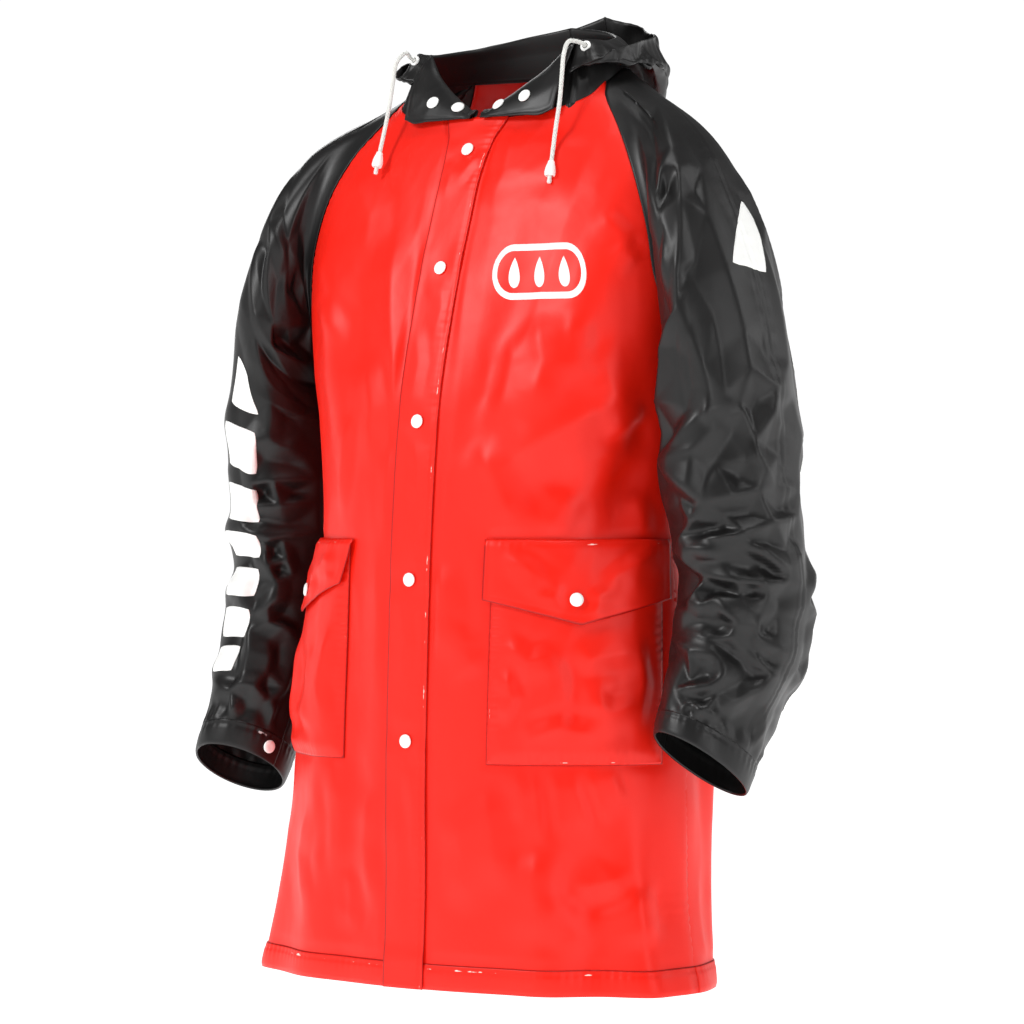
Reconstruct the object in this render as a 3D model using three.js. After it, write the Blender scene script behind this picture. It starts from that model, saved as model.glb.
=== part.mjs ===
// A hooded raincoat in welded plastic film, worn on a standing figure that isn't there: red fronts
// and back, black raglan sleeves, black collar and hood lying down behind the neck.
// Millimetres. X runs to the wearer's left, Y to the back and Z up. The origin is the middle of the
// neck opening, at the height of the shoulder line, where the wearer's shoulders hold the coat up.
import * as THREE from "three";

// Driving sizes
const cloth = 1.4; // wall of one layer
const gap = 0.3; // between pieces at a seam, and under a piece that lies on another
const hemLine = -889;
const hemBand = 25;
const armpit = -290;
const seamTop = { front: -14, back: 8 }; // heights where the raglan seams meet the neckline
const neckAngle = { front: 62, back: 118 }; // and their angles round the body
const placket = { under: -15, edge: -24, lap: 17, weld: 23 }; // arcs from the centre front
const pocket = { top: -464, bottom: -672, inner: 88, outer: 262, bulge: 7 };
const flap = { side: 52, point: 76, overhang: 7, seam: 6, slant: { left: 0, right: 14 } };
const snap = { radius: 6.6, height: 2.6, lift: 0.7 };
const cuffBand = 28;
const cord = { radius: 2.2, sides: 8 };

// The body's rings: half width, depth to the front and to the back, the middle of the ring, and
// the power that squares its corners, 1 for an ellipse
const bodyRings = [
  { z: 14, wide: 98, front: 68, back: 78, x: 0, y: 0, square: 1 },
  { z: 0, wide: 114, front: 73, back: 88, x: 0, y: -2, square: 1 },
  { z: -20, wide: 144, front: 77, back: 101, x: 0, y: -5, square: 0.97 },
  { z: -45, wide: 178, front: 75, back: 114, x: 0, y: -11, square: 0.88 },
  { z: -75, wide: 203, front: 80, back: 126, x: 0, y: -21, square: 0.84 },
  { z: -110, wide: 219, front: 91, back: 132, x: 0, y: -26, square: 0.82 },
  { z: -150, wide: 226, front: 101, back: 136, x: 0, y: -30, square: 0.82 },
  { z: -200, wide: 226, front: 116, back: 136, x: 0, y: -32, square: 0.84 },
  { z: -290, wide: 215, front: 139, back: 127, x: 0, y: -34, square: 0.9 },
  { z: -340, wide: 205, front: 148, back: 120, x: 0, y: -35, square: 0.94 },
  { z: -450, wide: 197, front: 154, back: 116, x: -1, y: -38, square: 0.97 },
  { z: -560, wide: 211, front: 150, back: 124, x: -3, y: -45, square: 0.97 },
  { z: -680, wide: 225, front: 145, back: 134, x: -5, y: -51, square: 0.97 },
  { z: -790, wide: 229, front: 140, back: 137, x: -5, y: -56, square: 0.97 },
  { z: -850, wide: 240, front: 136, back: 138, x: -6, y: -61, square: 0.97 },
  { z: -895, wide: 253, front: 132, back: 138, x: -7, y: -65, square: 0.97 },
];

// Height of the neckline round the neck, from the centre front to the centre back
const neckline = [
  { angle: 0, z: -46 },
  { angle: 25, z: -42 },
  { angle: 45, z: -30 },
  { angle: 62, z: -14 },
  { angle: 90, z: 2 },
  { angle: 118, z: 8 },
  { angle: 180, z: 13 },
];

// Raglan seams: their angle round the body at each height
const seamFront = [
  { z: -290, angle: 90 },
  { z: -268, angle: 82 },
  { z: -240, angle: 73 },
  { z: -205, angle: 65 },
  { z: -165, angle: 60 },
  { z: -120, angle: 54.5 },
  { z: -80, angle: 51 },
  { z: -45, angle: 50 },
  { z: -28, angle: 54 },
  { z: -14, angle: 62 },
];
const seamBack = [
  { z: -290, angle: 90 },
  { z: -268, angle: 98 },
  { z: -240, angle: 107 },
  { z: -205, angle: 115 },
  { z: -165, angle: 120 },
  { z: -120, angle: 125 },
  { z: -80, angle: 129 },
  { z: -45, angle: 131 },
  { z: -15, angle: 126 },
  { z: 8, angle: 118 },
];

// Sleeve sections below the raglan seam: the points next to the body and away from it, the middle's
// y, half the depth from front to back, and the degrees by which the front is raised
const sleeveSections = {
  left: [
    { innerX: 226, innerZ: -302, outerX: 228, outerZ: -72, y: -36, depth: 82, raise: 0 },
    { innerX: 223, innerZ: -315, outerX: 290, outerZ: -188, y: -46, depth: 86, raise: 0 },
    { innerX: 217, innerZ: -340, outerX: 322, outerZ: -320, y: -50, depth: 84, raise: 0 },
    { innerX: 213, innerZ: -428, outerX: 331, outerZ: -426, y: -49, depth: 78, raise: 0 },
    { innerX: 222, innerZ: -490, outerX: 346, outerZ: -496, y: -42, depth: 76, raise: 6 },
    { innerX: 226, innerZ: -560, outerX: 340, outerZ: -572, y: -60, depth: 67, raise: 20 },
    { innerX: 232, innerZ: -614, outerX: 323, outerZ: -630, y: -88, depth: 60, raise: 26 },
    { innerX: 236, innerZ: -656, outerX: 318, outerZ: -680, y: -112, depth: 54, raise: 32 },
  ],
  right: [
    { innerX: 226, innerZ: -302, outerX: 239, outerZ: -70, y: -36, depth: 82, raise: 0 },
    { innerX: 221, innerZ: -315, outerX: 287, outerZ: -187, y: -46, depth: 86, raise: 0 },
    { innerX: 215, innerZ: -340, outerX: 313, outerZ: -322, y: -50, depth: 82, raise: 0 },
    { innerX: 211, innerZ: -430, outerX: 321, outerZ: -430, y: -49, depth: 77, raise: 0 },
    { innerX: 214, innerZ: -496, outerX: 326, outerZ: -502, y: -42, depth: 74, raise: 6 },
    { innerX: 226, innerZ: -572, outerX: 334, outerZ: -584, y: -60, depth: 66, raise: 18 },
    { innerX: 236, innerZ: -634, outerX: 328, outerZ: -646, y: -86, depth: 58, raise: 26 },
    { innerX: 246, innerZ: -690, outerX: 332, outerZ: -696, y: -106, depth: 52, raise: 30 },
  ],
};
const sectionCount = sleeveSections.left.length;

// Collar tabs: the fold crest and the free edge, measured from the neckline outward and up
const collarSections = [
  { angle: 2.5, crestOut: -4, crestUp: 8, edgeOut: 6, edgeUp: 0 },
  { angle: 10, crestOut: -11, crestUp: 23, edgeOut: 7, edgeUp: -1 },
  { angle: 20, crestOut: -20, crestUp: 42, edgeOut: 9, edgeUp: -2 },
  { angle: 28, crestOut: -26, crestUp: 56, edgeOut: 10, edgeUp: -4 },
  { angle: 34, crestOut: -29, crestUp: 61, edgeOut: 10, edgeUp: -1 },
];
const collarSlant = 7; // degrees by which the free edge stops short of the crest

// Hood lying down: it stands up at the neck, folds over, sinks behind and rises again to its rim
const hoodSections = [
  {
    angle: 35.5, crestOut: -29, crestUp: 61, midOut: -24, midUp: 57,
    sinkOut: -17, sinkUp: 46, bulgeOut: -10, bulgeUp: 38, rimOut: -4, rimUp: 33,
  },
  {
    angle: 50, crestOut: -20, crestUp: 51, midOut: -14, midUp: 47,
    sinkOut: -6, sinkUp: 35, bulgeOut: 4, bulgeUp: 28, rimOut: 9, rimUp: 33,
  },
  {
    angle: 64, crestOut: -15, crestUp: 40, midOut: -7, midUp: 34,
    sinkOut: 2, sinkUp: 20, bulgeOut: 15, bulgeUp: 16, rimOut: 14, rimUp: 32,
  },
  {
    angle: 85, crestOut: -12, crestUp: 30, midOut: 2, midUp: 18,
    sinkOut: 14, sinkUp: 5, bulgeOut: 27, bulgeUp: 8, rimOut: 20, rimUp: 29,
  },
  {
    angle: 110, crestOut: -11, crestUp: 30, midOut: 7, midUp: 16,
    sinkOut: 22, sinkUp: -2, bulgeOut: 36, bulgeUp: 3, rimOut: 24, rimUp: 31,
  },
  {
    angle: 130, crestOut: -10, crestUp: 34, midOut: 12, midUp: 12,
    sinkOut: 33, sinkUp: -14, bulgeOut: 50, bulgeUp: -2, rimOut: 30, rimUp: 36,
  },
  {
    angle: 155, crestOut: -8, crestUp: 40, midOut: 22, midUp: 2,
    sinkOut: 56, sinkUp: -60, bulgeOut: 76, bulgeUp: -30, rimOut: 46, rimUp: 48,
  },
  {
    angle: 180, crestOut: -6, crestUp: 44, midOut: 28, midUp: -6,
    sinkOut: 58, sinkUp: -116, bulgeOut: 88, bulgeUp: -62, rimOut: 54, rimUp: 64,
  },
];
const neckLap = { out: -0.2, up: 0.5 }; // the collar and hood start just above the neckline

// Upright folds of the body: where each runs, in degrees round the body at its two ends
const bodyFolds = [
  { low: -990, high: -690, angleLow: 32, angleHigh: 40, width: 7, depth: 7 },
  { low: -990, high: -680, angleLow: 50, angleHigh: 54, width: 8, depth: -7 },
  { low: -990, high: -700, angleLow: 68, angleHigh: 64, width: 8, depth: 9 },
  { low: -960, high: -360, angleLow: -17, angleHigh: -20, width: 6, depth: -6 },
  { low: -990, high: -520, angleLow: -34, angleHigh: -30, width: 8, depth: 7 },
  { low: -990, high: -700, angleLow: -62, angleHigh: -58, width: 9, depth: 10 },
  { low: -990, high: -740, angleLow: -84, angleHigh: -80, width: 9, depth: -8 },
  { low: -430, high: -130, angleLow: 34, angleHigh: 46, width: 10, depth: 7 },
  { low: -460, high: -110, angleLow: 16, angleHigh: 24, width: 8, depth: -5 },
  { low: -480, high: -120, angleLow: -26, angleHigh: -40, width: 9, depth: 6 },
  { low: -500, high: -300, angleLow: 60, angleHigh: 78, width: 9, depth: -10 },
  { low: -500, high: -300, angleLow: -60, angleHigh: -76, width: 9, depth: -7 },
  { low: -990, high: -420, angleLow: 116, angleHigh: 122, width: 9, depth: 11 },
  { low: -990, high: -480, angleLow: 138, angleHigh: 140, width: 8, depth: -10 },
  { low: -990, high: -330, angleLow: 160, angleHigh: 156, width: 9, depth: 10 },
  { low: -990, high: -500, angleLow: 181, angleHigh: 182, width: 8, depth: -9 },
  { low: -990, high: -360, angleLow: -158, angleHigh: -152, width: 9, depth: 11 },
  { low: -990, high: -460, angleLow: -136, angleHigh: -134, width: 8, depth: -9 },
  { low: -990, high: -430, angleLow: -112, angleHigh: -118, width: 9, depth: 10 },
  { low: -420, high: -140, angleLow: 150, angleHigh: 132, width: 9, depth: 7 },
  { low: -420, high: -140, angleLow: -148, angleHigh: -134, width: 9, depth: 7 },
];

// Folds of each sleeve: along runs through the sections, round is 0 under the arm, 0.25 in front,
// 0.5 outside and 0.75 behind; turn slants the fold, as sections of length for each turn round
const sleeveFolds = {
  left: [
    { along: 1.9, round: 0.3, length: 1.1, width: 0.05, turn: 0, depth: -9 },
    { along: 1.7, round: 0.2, length: 1.2, width: 0.04, turn: 0, depth: 6 },
    { along: 3.35, round: 0.2, length: 0.22, width: 0.16, turn: 1.6, depth: 9 },
    { along: 3.8, round: 0.3, length: 0.2, width: 0.17, turn: -1.4, depth: -8 },
    { along: 4.3, round: 0.18, length: 0.22, width: 0.15, turn: 1.2, depth: 8 },
    { along: 4.75, round: 0.3, length: 0.2, width: 0.18, turn: -0.8, depth: -8 },
    { along: 5.2, round: 0.22, length: 0.2, width: 0.16, turn: 1.3, depth: 8 },
    { along: 5.65, round: 0.28, length: 0.2, width: 0.17, turn: -1.2, depth: -7 },
    { along: 6.1, round: 0.2, length: 0.22, width: 0.15, turn: 0.9, depth: 6 },
    { along: 4.9, round: 0.6, length: 0.6, width: 0.12, turn: 0, depth: 9 },
    { along: 3.6, round: 0.7, length: 0.24, width: 0.15, turn: 1.3, depth: -7 },
    { along: 4.2, round: 0.8, length: 0.22, width: 0.15, turn: -1.2, depth: 7 },
    { along: 6.0, round: 0.7, length: 0.25, width: 0.16, turn: 1.1, depth: -7 },
    { along: 6.6, round: 0.45, length: 0.22, width: 0.14, turn: 1.0, depth: -6 },
  ],
  right: [
    { along: 2.1, round: 0.34, length: 1.0, width: 0.05, turn: 0, depth: -7 },
    { along: 2.5, round: 0.24, length: 0.3, width: 0.14, turn: 1.0, depth: 7 },
    { along: 3.2, round: 0.3, length: 0.2, width: 0.15, turn: -1.2, depth: -8 },
    { along: 3.8, round: 0.22, length: 0.24, width: 0.16, turn: 1.2, depth: 8 },
    { along: 4.3, round: 0.36, length: 0.2, width: 0.16, turn: -1.2, depth: -9 },
    { along: 4.75, round: 0.25, length: 0.22, width: 0.15, turn: 1.4, depth: 8 },
    { along: 5.3, round: 0.3, length: 0.2, width: 0.18, turn: -1.0, depth: -8 },
    { along: 5.9, round: 0.22, length: 0.22, width: 0.16, turn: 1.1, depth: 7 },
    { along: 6.5, round: 0.32, length: 0.2, width: 0.16, turn: -1.0, depth: -6 },
    { along: 4.8, round: 0.62, length: 0.6, width: 0.12, turn: 0, depth: 9 },
    { along: 3.5, round: 0.72, length: 0.24, width: 0.15, turn: 1.2, depth: -7 },
    { along: 5.7, round: 0.7, length: 0.25, width: 0.16, turn: 1.2, depth: -7 },
  ],
};

// Routes of the drawstrings' free ends from the eyelets down onto the chest, at the left side
const cordRoute = {
  left: [
    [99, -72, 25], [101, -84, 12], [102, -89, -10], [103, -94, -35], [104, -102, -62], [106, -112, -95],
  ],
  right: [
    [101, -73, 27], [103, -85, 16], [104, -89, -2], [105, -93, -24], [106, -99, -48], [107, -107, -75],
  ],
};

const materials = {
  red: new THREE.MeshStandardMaterial({ color: 0xe8261c, roughness: 0.38 }),
  black: new THREE.MeshStandardMaterial({ color: 0x252626, roughness: 0.42 }),
  white: new THREE.MeshStandardMaterial({ color: 0xf2f2f0, roughness: 0.35 }),
};

const coat = new THREE.Group();

const radians = THREE.MathUtils.degToRad;
const clamp = THREE.MathUtils.clamp;
const mix = THREE.MathUtils.lerp;
const ease = (t) => THREE.MathUtils.smoothstep(t, 0, 1);
const sides = [
  { name: "left", sign: 1 },
  { name: "right", sign: -1 },
];

// Value and slope of a smooth curve between two values with given end slopes
function between(a, b, slopeA, slopeB, t) {
  const t2 = t * t;
  const t3 = t2 * t;
  const ends = a * (2 * t3 - 3 * t2 + 1) + b * (3 * t2 - 2 * t3);
  return ends + slopeA * (t3 - 2 * t2 + t) + slopeB * (t3 - t2);
}

// A table's row at any value of its key column, each column running smoothly through the rows
function rowAt(table, key, at) {
  const last = table.length - 1;
  const rising = table[last][key] > table[0][key];
  let i = 0;
  while (i < last - 1 && (rising ? at > table[i + 1][key] : at < table[i + 1][key])) i += 1;
  const [before, low, high, after] = [i - 1, i, i + 1, i + 2].map((k) => table[clamp(k, 0, last)]);
  const span = high[key] - low[key];
  const t = clamp((at - low[key]) / span, 0, 1);
  const slope = (from, to, column) => ((to[column] - from[column]) / (to[key] - from[key])) * span;
  const row = {};
  for (const column of Object.keys(low)) {
    const slopes = [slope(before, high, column), slope(low, after, column)];
    row[column] = between(low[column], high[column], ...slopes, t);
  }
  return row;
}

// How far the folds lift the body's cloth at a point
function bodyFold(angle, z) {
  const turned = ((((angle + 180) % 360) + 360) % 360) - 180;
  return bodyFolds.reduce((sum, fold) => {
    const t = (z - fold.low) / (fold.high - fold.low);
    if (t <= 0 || t >= 1) return sum;
    const away = turned - mix(fold.angleLow, fold.angleHigh, t);
    const across = (((away + 540) % 360) - 180) / fold.width;
    const along = ease(Math.min(t, 1 - t) / 0.4);
    return sum + fold.depth * along * Math.exp(-across * across);
  }, 0);
}

// A point of the body's outer surface: 0 degrees is the centre front, 90 the wearer's left
function bodyPoint(angle, z) {
  const ring = rowAt(bodyRings, "z", z);
  const sin = Math.sin(radians(angle));
  const cos = Math.cos(radians(angle));
  const lift = bodyFold(angle, z);
  const deep = cos > 0 ? ring.front : ring.back;
  const power = cos > 0 ? ring.square : 1;
  const across = Math.sign(sin) * Math.abs(sin) ** power;
  const along = Math.sign(cos) * Math.abs(cos) ** power;
  return new THREE.Vector3(ring.x + (ring.wide + lift) * across, ring.y - (deep + lift) * along, z);
}

function bodyNormal(angle, z) {
  const across = bodyPoint(angle + 0.4, z).sub(bodyPoint(angle - 0.4, z));
  const up = bodyPoint(angle, z + 0.8).sub(bodyPoint(angle, z - 0.8));
  return across.cross(up).normalize();
}

// Arc length from the centre front to an angle, and the angle at an arc length, along one ring
function arcTo(angle, z) {
  const steps = Math.ceil(Math.abs(angle) / 2);
  let length = 0;
  let before = bodyPoint(0, z);
  for (let i = 1; i <= steps; i += 1) {
    const next = bodyPoint((angle * i) / steps, z);
    length += next.distanceTo(before);
    before = next;
  }
  return length;
}
function angleAt(arc, z, sign) {
  let angle = 0;
  let length = 0;
  let before = bodyPoint(0, z);
  const step = 2 * sign * Math.sign(arc || 1);
  for (;;) {
    const next = bodyPoint(angle + step, z);
    const piece = next.distanceTo(before);
    if (length + piece >= Math.abs(arc)) return angle + (step * (Math.abs(arc) - length)) / piece;
    length += piece;
    angle += step;
    before = next;
  }
}

const seamAngle = (table, z) => (z <= armpit ? 90 : rowAt(table, "z", z).angle);
const neckZ = (angle) => rowAt(neckline, "angle", Math.abs(angle)).z;
const neckPoint = (angle) => bodyPoint(angle, neckZ(angle));

// Rows above this height are drawn down to the neckline, fully so at the top row
const drawnDown = -120;
function underNeckline(atTop, rowZ, topRow) {
  const share = clamp((rowZ - drawnDown) / (topRow - drawnDown), 0, 1);
  return rowZ + (neckZ(atTop) - topRow) * share;
}

// Place of a front panel's point. Arc is measured from the centre front; above the pocket the
// columns draw in with the raglan seam, but the placket keeps its width
const panelEdge = arcTo(90, pocket.top);
function frontPlace(sign, arc, rowZ) {
  const edge = arcTo(sign * seamAngle(seamFront, rowZ), rowZ);
  const fixed = rowZ > pocket.top ? placket.weld : pocket.outer + flap.overhang;
  const stretched = fixed + ((arc - fixed) * (edge - fixed)) / (panelEdge - fixed);
  const angle = angleAt(arc > fixed ? stretched : arc, rowZ, sign);
  const atTop = (angle / seamAngle(seamFront, rowZ)) * neckAngle.front;
  return { angle, z: underNeckline(atTop, rowZ, seamTop.front) };
}

// Place of a back panel's point: across runs from -1 at the wearer's right to 1 at the left
function backPlace(across, rowZ) {
  const angle = 180 - across * (180 - seamAngle(seamBack, rowZ));
  const atTop = 180 - Math.abs(across) * (180 - neckAngle.back);
  return { angle, z: underNeckline(atTop, rowZ, seamTop.back) };
}

// The raglan seam as a loop: 0 at the armpit, up the front to the neck, 0.5 at the shoulder line
// and down the back to 1
const neckShare = 0.4;
function seamPlace(sign, round) {
  const front = round <= 0.5;
  const part = front ? round : 1 - round;
  const table = front ? seamFront : seamBack;
  const top = front ? seamTop.front : seamTop.back;
  if (part <= neckShare) {
    const z = mix(armpit, top, part / neckShare);
    return { angle: sign * seamAngle(table, z), z };
  }
  const corner = front ? neckAngle.front : neckAngle.back;
  const angle = mix(corner, 90, (part - neckShare) / (0.5 - neckShare));
  return { angle: sign * angle, z: neckZ(angle) };
}
function seamPoint(sign, round) {
  const { angle, z } = seamPlace(sign, round);
  return bodyPoint(angle, z);
}

// One point of a sleeve section
function sectionPoint(side, index, round) {
  const section = sleeveSections[side.name][index];
  const turn = 2 * Math.PI * round;
  const raise = radians(section.raise);
  const across = -Math.cos(turn) / 2;
  const forward = section.depth * Math.sin(turn);
  const x = (section.innerX + section.outerX) / 2 + (section.outerX - section.innerX) * across;
  const z = (section.innerZ + section.outerZ) / 2 + (section.outerZ - section.innerZ) * across;
  return new THREE.Vector3(side.sign * x, section.y - forward * Math.cos(raise), z + forward * Math.sin(raise));
}

// Direction in which the sleeve leaves the raglan seam: over the body's surface, swelling out toward
// the sleeve's first section, and down and outward at the armpit
function seamHeading(side, round) {
  const start = seamPoint(side.sign, round);
  const { angle, z } = seamPlace(side.sign, round);
  const near = 0.004;
  const ahead = seamPoint(side.sign, Math.min(round + near, 1));
  const along = ahead.sub(seamPoint(side.sign, Math.max(round - near, 0)));
  const surface = along.cross(bodyNormal(angle, z)).normalize();
  const part = Math.min(round, 1 - round);
  const aside = side.sign * (round <= 0.5 ? 1 : -1);
  const away = new THREE.Vector3(0, 0, -0.2);
  if (part < neckShare) away.add(bodyPoint(angle + aside, z).sub(start).normalize());
  if (surface.dot(away) < 0) surface.negate();
  const toward = sectionPoint(side, 0, round).sub(start).normalize();
  const underarm = new THREE.Vector3(side.sign * 0.75, 0, -0.66);
  return surface.addScaledVector(toward, 0.7).lerp(underarm, 1 - ease(part / 0.14)).normalize();
}

// A point of a sleeve: along is 0 at the raglan seam and counts the sections down to the cuff
function sleevePoint(side, round, along) {
  const start = () => seamPoint(side.sign, round).addScaledVector(seamHeading(side, round), 2 * gap);
  const knot = (k) => (k === 0 ? start() : sectionPoint(side, k - 1, round));
  const last = sectionCount;
  const i = clamp(Math.floor(along), 0, last - 1);
  const t = along - i;
  const [low, high] = [knot(i), knot(i + 1)];
  const chord = high.distanceTo(low);
  const heading = (k) => {
    if (k === 0) return seamHeading(side, round);
    const here = knot(k);
    const back = here.clone().sub(knot(k - 1));
    if (k === last) return back.normalize();
    const ahead = knot(k + 1).sub(here);
    const [backLength, aheadLength] = [back.length(), ahead.length()];
    back.multiplyScalar(aheadLength / backLength);
    ahead.multiplyScalar(backLength / aheadLength);
    return back.add(ahead).divideScalar(backLength + aheadLength);
  };
  const [from, to] = [heading(i).multiplyScalar(chord), heading(i + 1).multiplyScalar(chord)];
  const axes = ["x", "y", "z"].map((axis) => between(low[axis], high[axis], from[axis], to[axis], t));
  return new THREE.Vector3(...axes);
}

// How far a sleeve's folds lift its cloth. They die away next to the body, at the underarm
function sleeveFold(side, round, along) {
  const clear = ease((Math.min(round, 1 - round) - 0.03) / 0.12);
  const sum = sleeveFolds[side.name].reduce((total, fold) => {
    const away = ((((round - fold.round + 0.5) % 1) + 1) % 1) - 0.5;
    const down = (along - fold.along - fold.turn * away) / fold.length;
    return total + fold.depth * Math.exp(-down * down - (away / fold.width) ** 2);
  }, 0);
  const ends = ease((along - 0.4) / 0.6) * ease((sectionCount - 0.55 - along) / 0.5);
  return sum * clear * ends;
}

// A grid of points with normals on the body, from the angle and height of each
function bodyGrid(columns, rows, placeAt) {
  const places = rows.map((row) => columns.map((column) => placeAt(column, row)));
  return {
    points: places.map((line) => line.map(({ angle, z }) => bodyPoint(angle, z))),
    normals: places.map((line) => line.map(({ angle, z }) => bodyNormal(angle, z))),
  };
}

// The same on any other surface. Lift moves each point along its normal and turns the normal
function makeGrid(columns, rows, pointAt, sign, step, lift = () => 0) {
  const slopes = (column, row, normal) => {
    const at = (c, r) => pointAt(c, r).addScaledVector(normal, lift(c, r));
    const across = at(column + step[0], row).sub(at(column - step[0], row));
    const up = at(column, row + step[1]).sub(at(column, row - step[1]));
    return across.cross(up).multiplyScalar(sign).normalize();
  };
  const flat = new THREE.Vector3();
  const grid = { points: [], normals: [] };
  for (const row of rows) {
    const bare = columns.map((column) => slopes(column, row, flat));
    grid.points.push(columns.map((c, i) => pointAt(c, row).addScaledVector(bare[i], lift(c, row))));
    grid.normals.push(columns.map((c, i) => slopes(c, row, bare[i])));
  }
  return grid;
}

// A closed wall between two distances from a grid. A ring joins its last column to its first
function wall(grid, low, high, ring = false) {
  const rows = grid.points.length;
  const columns = grid.points[0].length - (ring ? 1 : 0);
  const position = [];
  for (const distance of [high, low]) {
    for (let j = 0; j < rows; j += 1) {
      for (let i = 0; i < columns; i += 1) {
        const out = typeof distance === "function" ? distance(i, j) : distance;
        position.push(...grid.points[j][i].clone().addScaledVector(grid.normals[j][i], out).toArray());
      }
    }
  }
  const outer = (i, j) => j * columns + (i % columns);
  const inner = (i, j) => rows * columns + outer(i, j);
  const index = [];
  const quad = (a, b, c, d) => index.push(a, b, c, a, c, d);
  const spans = ring ? columns : columns - 1;
  for (let i = 0; i < spans; i += 1) {
    for (let j = 0; j < rows - 1; j += 1) {
      quad(outer(i, j), outer(i + 1, j), outer(i + 1, j + 1), outer(i, j + 1));
      quad(inner(i, j), inner(i, j + 1), inner(i + 1, j + 1), inner(i + 1, j));
    }
    quad(inner(i, 0), inner(i + 1, 0), outer(i + 1, 0), outer(i, 0));
    quad(outer(i, rows - 1), outer(i + 1, rows - 1), inner(i + 1, rows - 1), inner(i, rows - 1));
  }
  if (!ring) {
    const end = columns - 1;
    for (let j = 0; j < rows - 1; j += 1) {
      quad(inner(0, j), outer(0, j), outer(0, j + 1), inner(0, j + 1));
      quad(outer(end, j), inner(end, j), inner(end, j + 1), outer(end, j + 1));
    }
  }
  return facingOut(new Float32Array(position), index);
}

// Geometry with its faces turned out: a mirrored grid comes in the other way round
function facingOut(position, index) {
  const corner = (k) => new THREE.Vector3().fromArray(position, index[k] * 3);
  let volume = 0;
  for (let k = 0; k < index.length; k += 3) volume += corner(k).dot(corner(k + 1).cross(corner(k + 2)));
  if (volume < 0) {
    for (let k = 0; k < index.length; k += 3) [index[k + 1], index[k + 2]] = [index[k + 2], index[k + 1]];
  }
  const geometry = new THREE.BufferGeometry();
  geometry.setAttribute("position", new THREE.BufferAttribute(position, 3));
  geometry.setIndex(index);
  geometry.computeVertexNormals();
  return geometry;
}

function addPiece(name, geometry, material) {
  const mesh = new THREE.Mesh(geometry, material);
  mesh.name = name;
  coat.add(mesh);
  return mesh;
}

// A turned piece standing on a surface point, its axis along the normal
function addTurned(name, profile, segments, point, normal, material) {
  const outline = profile.map(([radius, height]) => new THREE.Vector2(radius, height));
  const mesh = addPiece(name, new THREE.LatheGeometry(outline, segments), material);
  mesh.position.copy(point);
  mesh.quaternion.setFromUnitVectors(new THREE.Vector3(0, 1, 0), normal);
  return mesh;
}

function addSnap(name, place, above) {
  const { radius, height } = snap;
  const dome = [[0, 0], [radius, 0], [radius * 0.9, height * 0.55], [radius * 0.55, height * 0.9], [0, height]];
  const at = place.point.clone().addScaledVector(place.normal, above + snap.lift);
  return addTurned(name, dome, 12, at, place.normal, materials.white);
}

// Heights shared by the fronts, the back and the sleeve seams, so that seams meet point to point
const skirtRows = [hemLine + hemBand + gap, -830, -790, -750, -710, pocket.bottom, -620, -568, -516];
const waistRows = [pocket.top, -420, -378, -336];
const seamSteps = [0, 0.12, 0.25, 0.38, 0.51, 0.64, 0.76, 0.88, 1];
const bodyRows = (top) => [...skirtRows, ...waistRows, ...seamSteps.map((t) => mix(armpit, top, t))];
const panelArcs = [55, pocket.inner, 117, 146, 175, 204, 233, pocket.outer, panelEdge - gap / 2];

function addFronts() {
  const starts = { left: [placket.lap, placket.weld], right: [placket.under, 0, -placket.edge] };
  for (const side of sides) {
    const columns = [...starts[side.name], ...panelArcs];
    const place = (arc, z) => frontPlace(side.sign, arc, z);
    const grid = bodyGrid(columns, bodyRows(seamTop.front), place);
    addPiece(`front_${side.name}`, wall(grid, -cloth, 0), materials.red);
    addHem(`hem_front_${side.name}`, columns, place);
  }
}

const backTrim = gap / 2 / 300;
const backColumns = Array.from({ length: 17 }, (_, i) => (i / 8 - 1) * (1 - backTrim));
function addBack() {
  const grid = bodyGrid(backColumns, bodyRows(seamTop.back), backPlace);
  addPiece("back", wall(grid, -cloth, 0), materials.red);
  addHem("hem_back", backColumns, backPlace);
}

// The welded hem, a double layer that stands a little proud of the panel above it
function addHem(name, columns, place) {
  const rows = [hemLine, hemLine + hemBand * 0.5, hemLine + hemBand];
  const swell = [0.9, 1.5, 0.5];
  const grid = bodyGrid(columns, rows, place);
  addPiece(name, wall(grid, -2 * cloth + 0.6, (i, j) => swell[j]), materials.red);
}

// The placket strip laps over the right front and is welded along the left one
const placketColumns = [placket.edge, 0, -placket.under, placket.lap, placket.weld];
const placketRows = [hemLine, hemLine + hemBand * 0.5, hemLine + hemBand, ...bodyRows(seamTop.front)];
const placketPlace = (arc, z) => (arc < 0 ? frontPlace(-1, -arc, z) : frontPlace(1, arc, z));
const placketLift = (z) => gap + 1.5 * (1 - ease((z - hemLine - hemBand) / 20));
function addPlacket() {
  const grid = bodyGrid(placketColumns, placketRows, placketPlace);
  const low = (i, j) => placketLift(placketRows[j]);
  addPiece("placket", wall(grid, low, (i, j) => low(i, j) + cloth), materials.red);
  [-60, -196, -345, -497, -652].forEach((z, i) => {
    addSnap(`snap_front_${i + 1}`, bodySpot(placketPlace(0, z)), gap + cloth);
  });
}

function bodySpot({ angle, z }) {
  return { point: bodyPoint(angle, z), normal: bodyNormal(angle, z) };
}

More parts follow.
